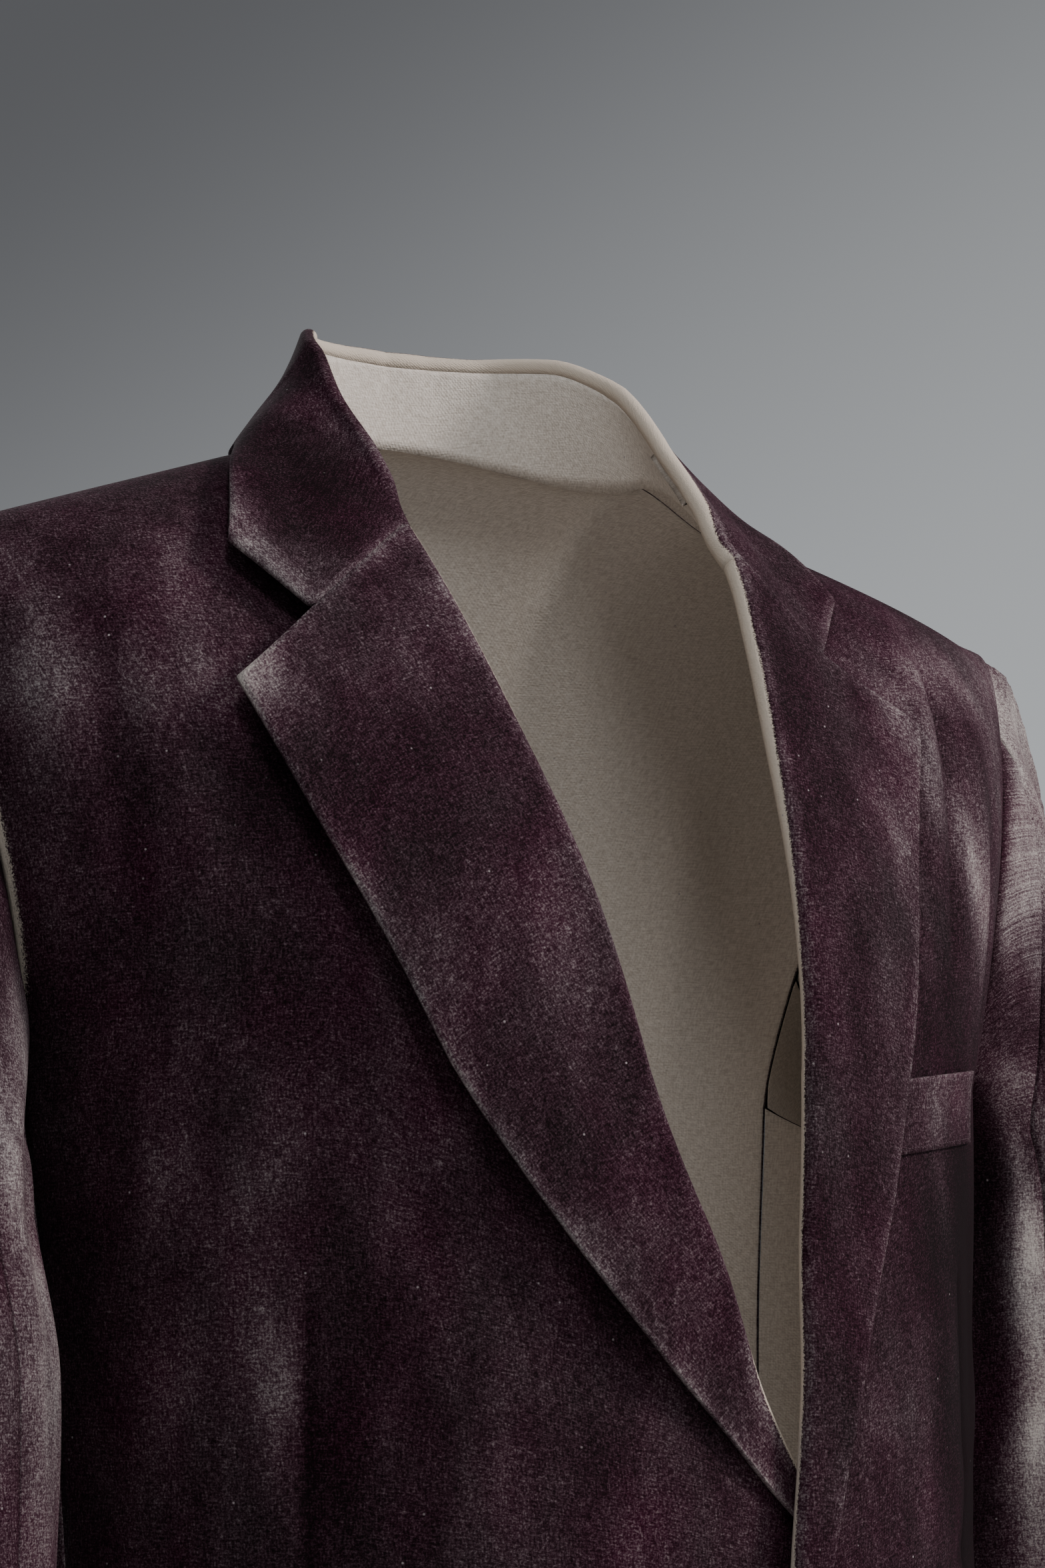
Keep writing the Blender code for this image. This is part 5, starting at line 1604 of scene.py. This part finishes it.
# sleeve head: how far it stands fuller than its solid, where round the sleeve
# that is most, and over which reach from the armhole it grows and fades
HEAD_FULLNESS = 5 * MM
HEAD_MIDDLE = 20 * MM
HEAD_HALF = 60 * MM
HEAD_GROWS = (0, 18 * MM)
HEAD_FADES = (50 * MM, 140 * MM)
# painted shade of the groove along the armhole, away from the sleeve's top
SEAM_SHADE = 9 * MM
SEAM_PAINTED_SHADE = 1.5
OFF_TOP = (10 * MM, 45 * MM)


def full_head(points, round_it, from_armhole):
    """Sleeve head that stands full beyond its seam, most at its top."""
    lift = smooth(*HEAD_GROWS, from_armhole) * (1 - smooth(*HEAD_FADES, from_armhole))
    around = np.exp(-((round_it - HEAD_MIDDLE) / HEAD_HALF) ** 2)
    return points + grid_normals(points) * (HEAD_FULLNESS * lift * around)[..., None]


def make_sleeves(cloths):
    for side in SIDES:
        for piece in ("top", "under"):
            name = piece + "_sleeve_" + side
            way = side if piece == "top" else OTHER_SIDE[side]
            grid, round_it = (ordered(values, way)[::-1] for values in sleeve_grid(side, piece))
            dressed = dress(name, grid, ["left", "right"], ["low"], round_it)
            from_armhole = dressed["reach"]["top"]
            dressed["points"] = full_head(dressed["points"], round_it, from_armhole)
            # painted shade along the armhole seam, darker than the cloth beside it
            in_groove = np.exp(-(from_armhole / SEAM_SHADE) ** 2)
            groove_painted_shade = SEAM_PAINTED_SHADE * smooth(*OFF_TOP, np.abs(round_it)) * in_groove
            dressed["fading_and_painted_light"] = dressed["fading_and_painted_light"] - groove_painted_shade
            cloth(name, dressed, cloths)


# Stitches and button

# points round a stitch's thread and rings along it
STITCH_SIDES = 6
STITCH_RINGS = 5
# share of a stitch's step that its thread takes, and its width at its ends
STITCH_SHARE = 0.62
STITCH_TAPER = 0.6


def sew(name, ends, normals, radius, bulge, material):
    """Short threads, each arched out of the cloth between its two ends."""
    turn = np.linspace(0, 2 * np.pi, STITCH_SIDES, endpoint=False)[:, None]
    points, faces = [], []
    for (start, end), normal in zip(ends, normals):
        base = len(points)
        aside = np.cross(unit(end - start), normal)
        for share in np.linspace(0, 1, STITCH_RINGS):
            rise = math.sin(math.pi * share)
            middle = start + (end - start) * share + normal * (bulge * rise - radius / 2)
            wide = radius * (STITCH_TAPER + (1 - STITCH_TAPER) * rise)
            points.extend(middle + wide * (np.cos(turn) * normal + np.sin(turn) * aside))
        last = base + (STITCH_RINGS - 1) * STITCH_SIDES
        for low in range(base, last, STITCH_SIDES):
            for k in range(STITCH_SIDES):
                near, after = low + k, low + (k + 1) % STITCH_SIDES
                faces.append((near, after, after + STITCH_SIDES, near + STITCH_SIDES))
        faces.append(tuple(range(base + STITCH_SIDES - 1, base - 1, -1)))
        faces.append(tuple(range(last, last + STITCH_SIDES)))
    data = bpy.data.meshes.new(name)
    data.from_pydata([tuple(point) for point in points], [], faces)
    data.polygons.foreach_set("use_smooth", [True] * len(faces))
    data.materials.append(material)
    piece = placed(name, data)
    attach(piece, "root")


# seam of the welt: one grid line in from its borders, one stitch to each step
THREAD_RADIUS = 0.16 * MM
WELT_SEAM = 1
WELT_WEAR = 0.35


def make_welt(cloths, thread):
    strip = welt()
    dressed = dress("breast_welt", strip, [], ["left", "right", "top"])
    dressed["wear"] = WELT_WEAR * dressed["wear"]
    cloth("breast_welt", dressed, cloths, WELT_WALL)
    facing = grid_normals(strip)
    if np.mean(facing[..., 1]) > 0:
        facing = -facing
    ends, normals = [], []
    for line in (np.s_[WELT_SEAM], np.s_[:, WELT_SEAM], np.s_[:, -1 - WELT_SEAM]):
        here, there = strip[line][:-1], strip[line][1:]
        ends.extend(zip(here, here + (there - here) * STITCH_SHARE))
        normals.extend(facing[line][:-1])
    sew("welt_stitching", ends, normals, THREAD_RADIUS, THREAD_RADIUS, thread)


# buttonhole: its ends beyond the button's middle, how near to and far from its
# slit a stitch begins and ends, stitches along it and in the bar at its end
BUTTONHOLE = (8 * MM, 23 * MM)
BUTTONHOLE_SIDE = (0.35 * MM, 2.1 * MM)
BUTTONHOLE_STITCHES = 26
BUTTONHOLE_BAR = 7
PURL_RADIUS = 0.26 * MM
PURL_BULGE = 0.2 * MM


def make_buttonhole(thread):
    """Worked buttonhole that runs from under the button away from the edge."""
    near, far = BUTTONHOLE_SIDE
    start, end = (BUTTON_OUT + reach for reach in BUTTONHOLE)
    places = []
    for out in np.linspace(start, end, BUTTONHOLE_STITCHES):
        for way in (-1, 1):
            places.append(((out, BUTTON_LEVEL + way * near), (out, BUTTON_LEVEL + way * far)))
    for share in np.linspace(-1, 1, BUTTONHOLE_BAR):
        level = BUTTON_LEVEL + share * far
        places.append(((end, level), (end + far, level)))
    ends = [tuple(front_frame("left", *place)[0] for place in pair) for pair in places]
    normals = [front_frame("left", *pair[0])[1] for pair in places]
    sew("buttonhole_stitching", ends, normals, PURL_RADIUS, PURL_BULGE, thread)


# button: its back above the cloth, the face of its sunk middle above its back,
# and the strands of thread side by side between two holes
BUTTON_SEAT = 0.3 * MM
BUTTON_FACE = 2.3 * MM
STRANDS = (-0.45 * MM, 0.0, 0.45 * MM)
STRAND_RADIUS = 0.28 * MM
STRAND_BULGE = 0.45 * MM


def make_button(thread):
    """The solid's own button in horn, with thread through its four holes."""
    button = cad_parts["button"]
    horn = horn_material()
    for slot in button.material_slots:
        slot.material = horn
    point, normal = front_frame("left", BUTTON_OUT, BUTTON_LEVEL)
    turn = Vector(normal).to_track_quat("Z", "Y")
    across, upwards = (np.array(turn @ Vector(way)) for way in ((1, 0, 0), (0, 1, 0)))
    hole = BUTTON_HOLE_OFFSET * math.cos(math.radians(45))
    half = across * (hole + BUTTON_HOLE / 2)
    face = point + normal * (BUTTON_SEAT + BUTTON_FACE)
    middles = [face + upwards * (row + strand) for row in (-hole, hole) for strand in STRANDS]
    ends = [(middle - half, middle + half) for middle in middles]
    normals = [normal] * len(ends)
    sew("button_thread", ends, normals, STRAND_RADIUS, STRAND_BULGE, thread)


# Studio

FLOOR_RADIUS = 2.4
FLOOR_DROP = 1 * MM


def make_floor():
    mesh = bmesh.new()
    bmesh.ops.create_circle(mesh, cap_ends=True, segments=64, radius=FLOOR_RADIUS)
    data = bpy.data.meshes.new("floor")
    mesh.to_mesh(data)
    mesh.free()
    floor = placed("floor", data)
    floor.location = (0, 0, cad_box[0][2] - FLOOR_DROP)
    data.materials.append(floor_material())


# soft round lights: place, aim, width in metres, power in watts and colour
LIGHTS = {
    "key": ((1.3, -1.3, 0.95), (0.0, -0.1, -0.15), 0.5, 31, "#fff5f1"),
    "neck_fill": ((-0.35, -0.75, 0.75), (0.03, 0.02, -0.2), 0.3, 4, "#ffffff"),
    "back_fill": ((0.3, 1.6, 0.8), (0.0, 0.0, -0.4), 1.2, 8, "#ffffff"),
}


def make_lights():
    for name, (stands, aim, width, power, colour) in LIGHTS.items():
        data = bpy.data.lights.new(name, "AREA")
        data.shape = "DISK"
        data.size = width
        data.energy = power
        data.color = linear(colour)[:3]
        lamp = placed(name, data)
        lamp.location = stands
        lamp.rotation_mode = "QUATERNION"
        lamp.rotation_quaternion = (Vector(stands) - Vector(aim)).to_track_quat("Z", "Y")


# the studio's grey wall grows lighter to the picture's right and downwards
WALL_DARK = "#595a5d"
WALL_LIGHT = "#b4b7ba"
WALL_RIGHT = (2.7, -1.72, -5.4)
WALL_SPAN = (-2.24, -0.1)


def make_world():
    world = bpy.data.worlds.new("grey_studio_wall")
    world.use_nodes = True
    tree = world.node_tree
    where = add(tree, "TexCoord", {}, "Generated")
    across = add(tree, "VectorMath", {0: where, 1: WALL_RIGHT}, "Value", operation="DOT_PRODUCT")
    span = {"Value": across, "From Min": WALL_SPAN[0], "From Max": WALL_SPAN[1]}
    colours = {0: add(tree, "MapRange", span, **SOFTLY), FIRST: linear(WALL_DARK),
               SECOND: linear(WALL_LIGHT)}
    wall = add(tree, "Mix", colours, BLEND, data_type="RGBA")
    feed(tree.nodes["Background"], {"Color": wall})
    bpy.context.scene.world = world


# camera: degrees round the wearer and up, degrees of roll, distance and lens
CAMERA_AROUND = -32.4
CAMERA_UP = -7.6
CAMERA_ROLL = -1.2
CAMERA_TARGET = (19 * MM, 0.0, -119.5 * MM)
CAMERA_AWAY = 1.38
LENS = 128.6
SENSOR = 36


def make_camera():
    data = bpy.data.cameras.new("camera")
    data.lens = LENS
    data.sensor_width = SENSOR
    data.sensor_fit = "HORIZONTAL"
    camera = placed("camera", data)
    around, up = math.radians(CAMERA_AROUND), math.radians(CAMERA_UP)
    ahead = -math.cos(around) * math.cos(up)
    away = Vector((math.sin(around) * math.cos(up), ahead, math.sin(up)))
    camera.location = Vector(CAMERA_TARGET) + away * CAMERA_AWAY
    camera.rotation_mode = "QUATERNION"
    roll = Quaternion((0, 0, 1), math.radians(CAMERA_ROLL))
    camera.rotation_quaternion = away.to_track_quat("Z", "Y") @ roll
    bpy.context.scene.camera = camera


def main():
    plum = cloth_material("plum_pigment_dyed_twill", True)
    cream = cloth_material("undyed_cream_twill", False)
    thread = thread_material("plum_cotton_thread", "#5a3d49", "#2a171f")
    # outer face, inner face and rim of a shell
    lined, dyed, undyed = [plum, cream, plum], [plum] * 3, [cream] * 3
    make_body(lined)
    make_lapels(dyed)
    make_collar(dyed, undyed)
    make_sleeves(lined)
    make_welt(dyed, thread)
    make_buttonhole(thread)
    make_button(thread)
    make_floor()
    make_lights()
    make_world()
    make_camera()


main()
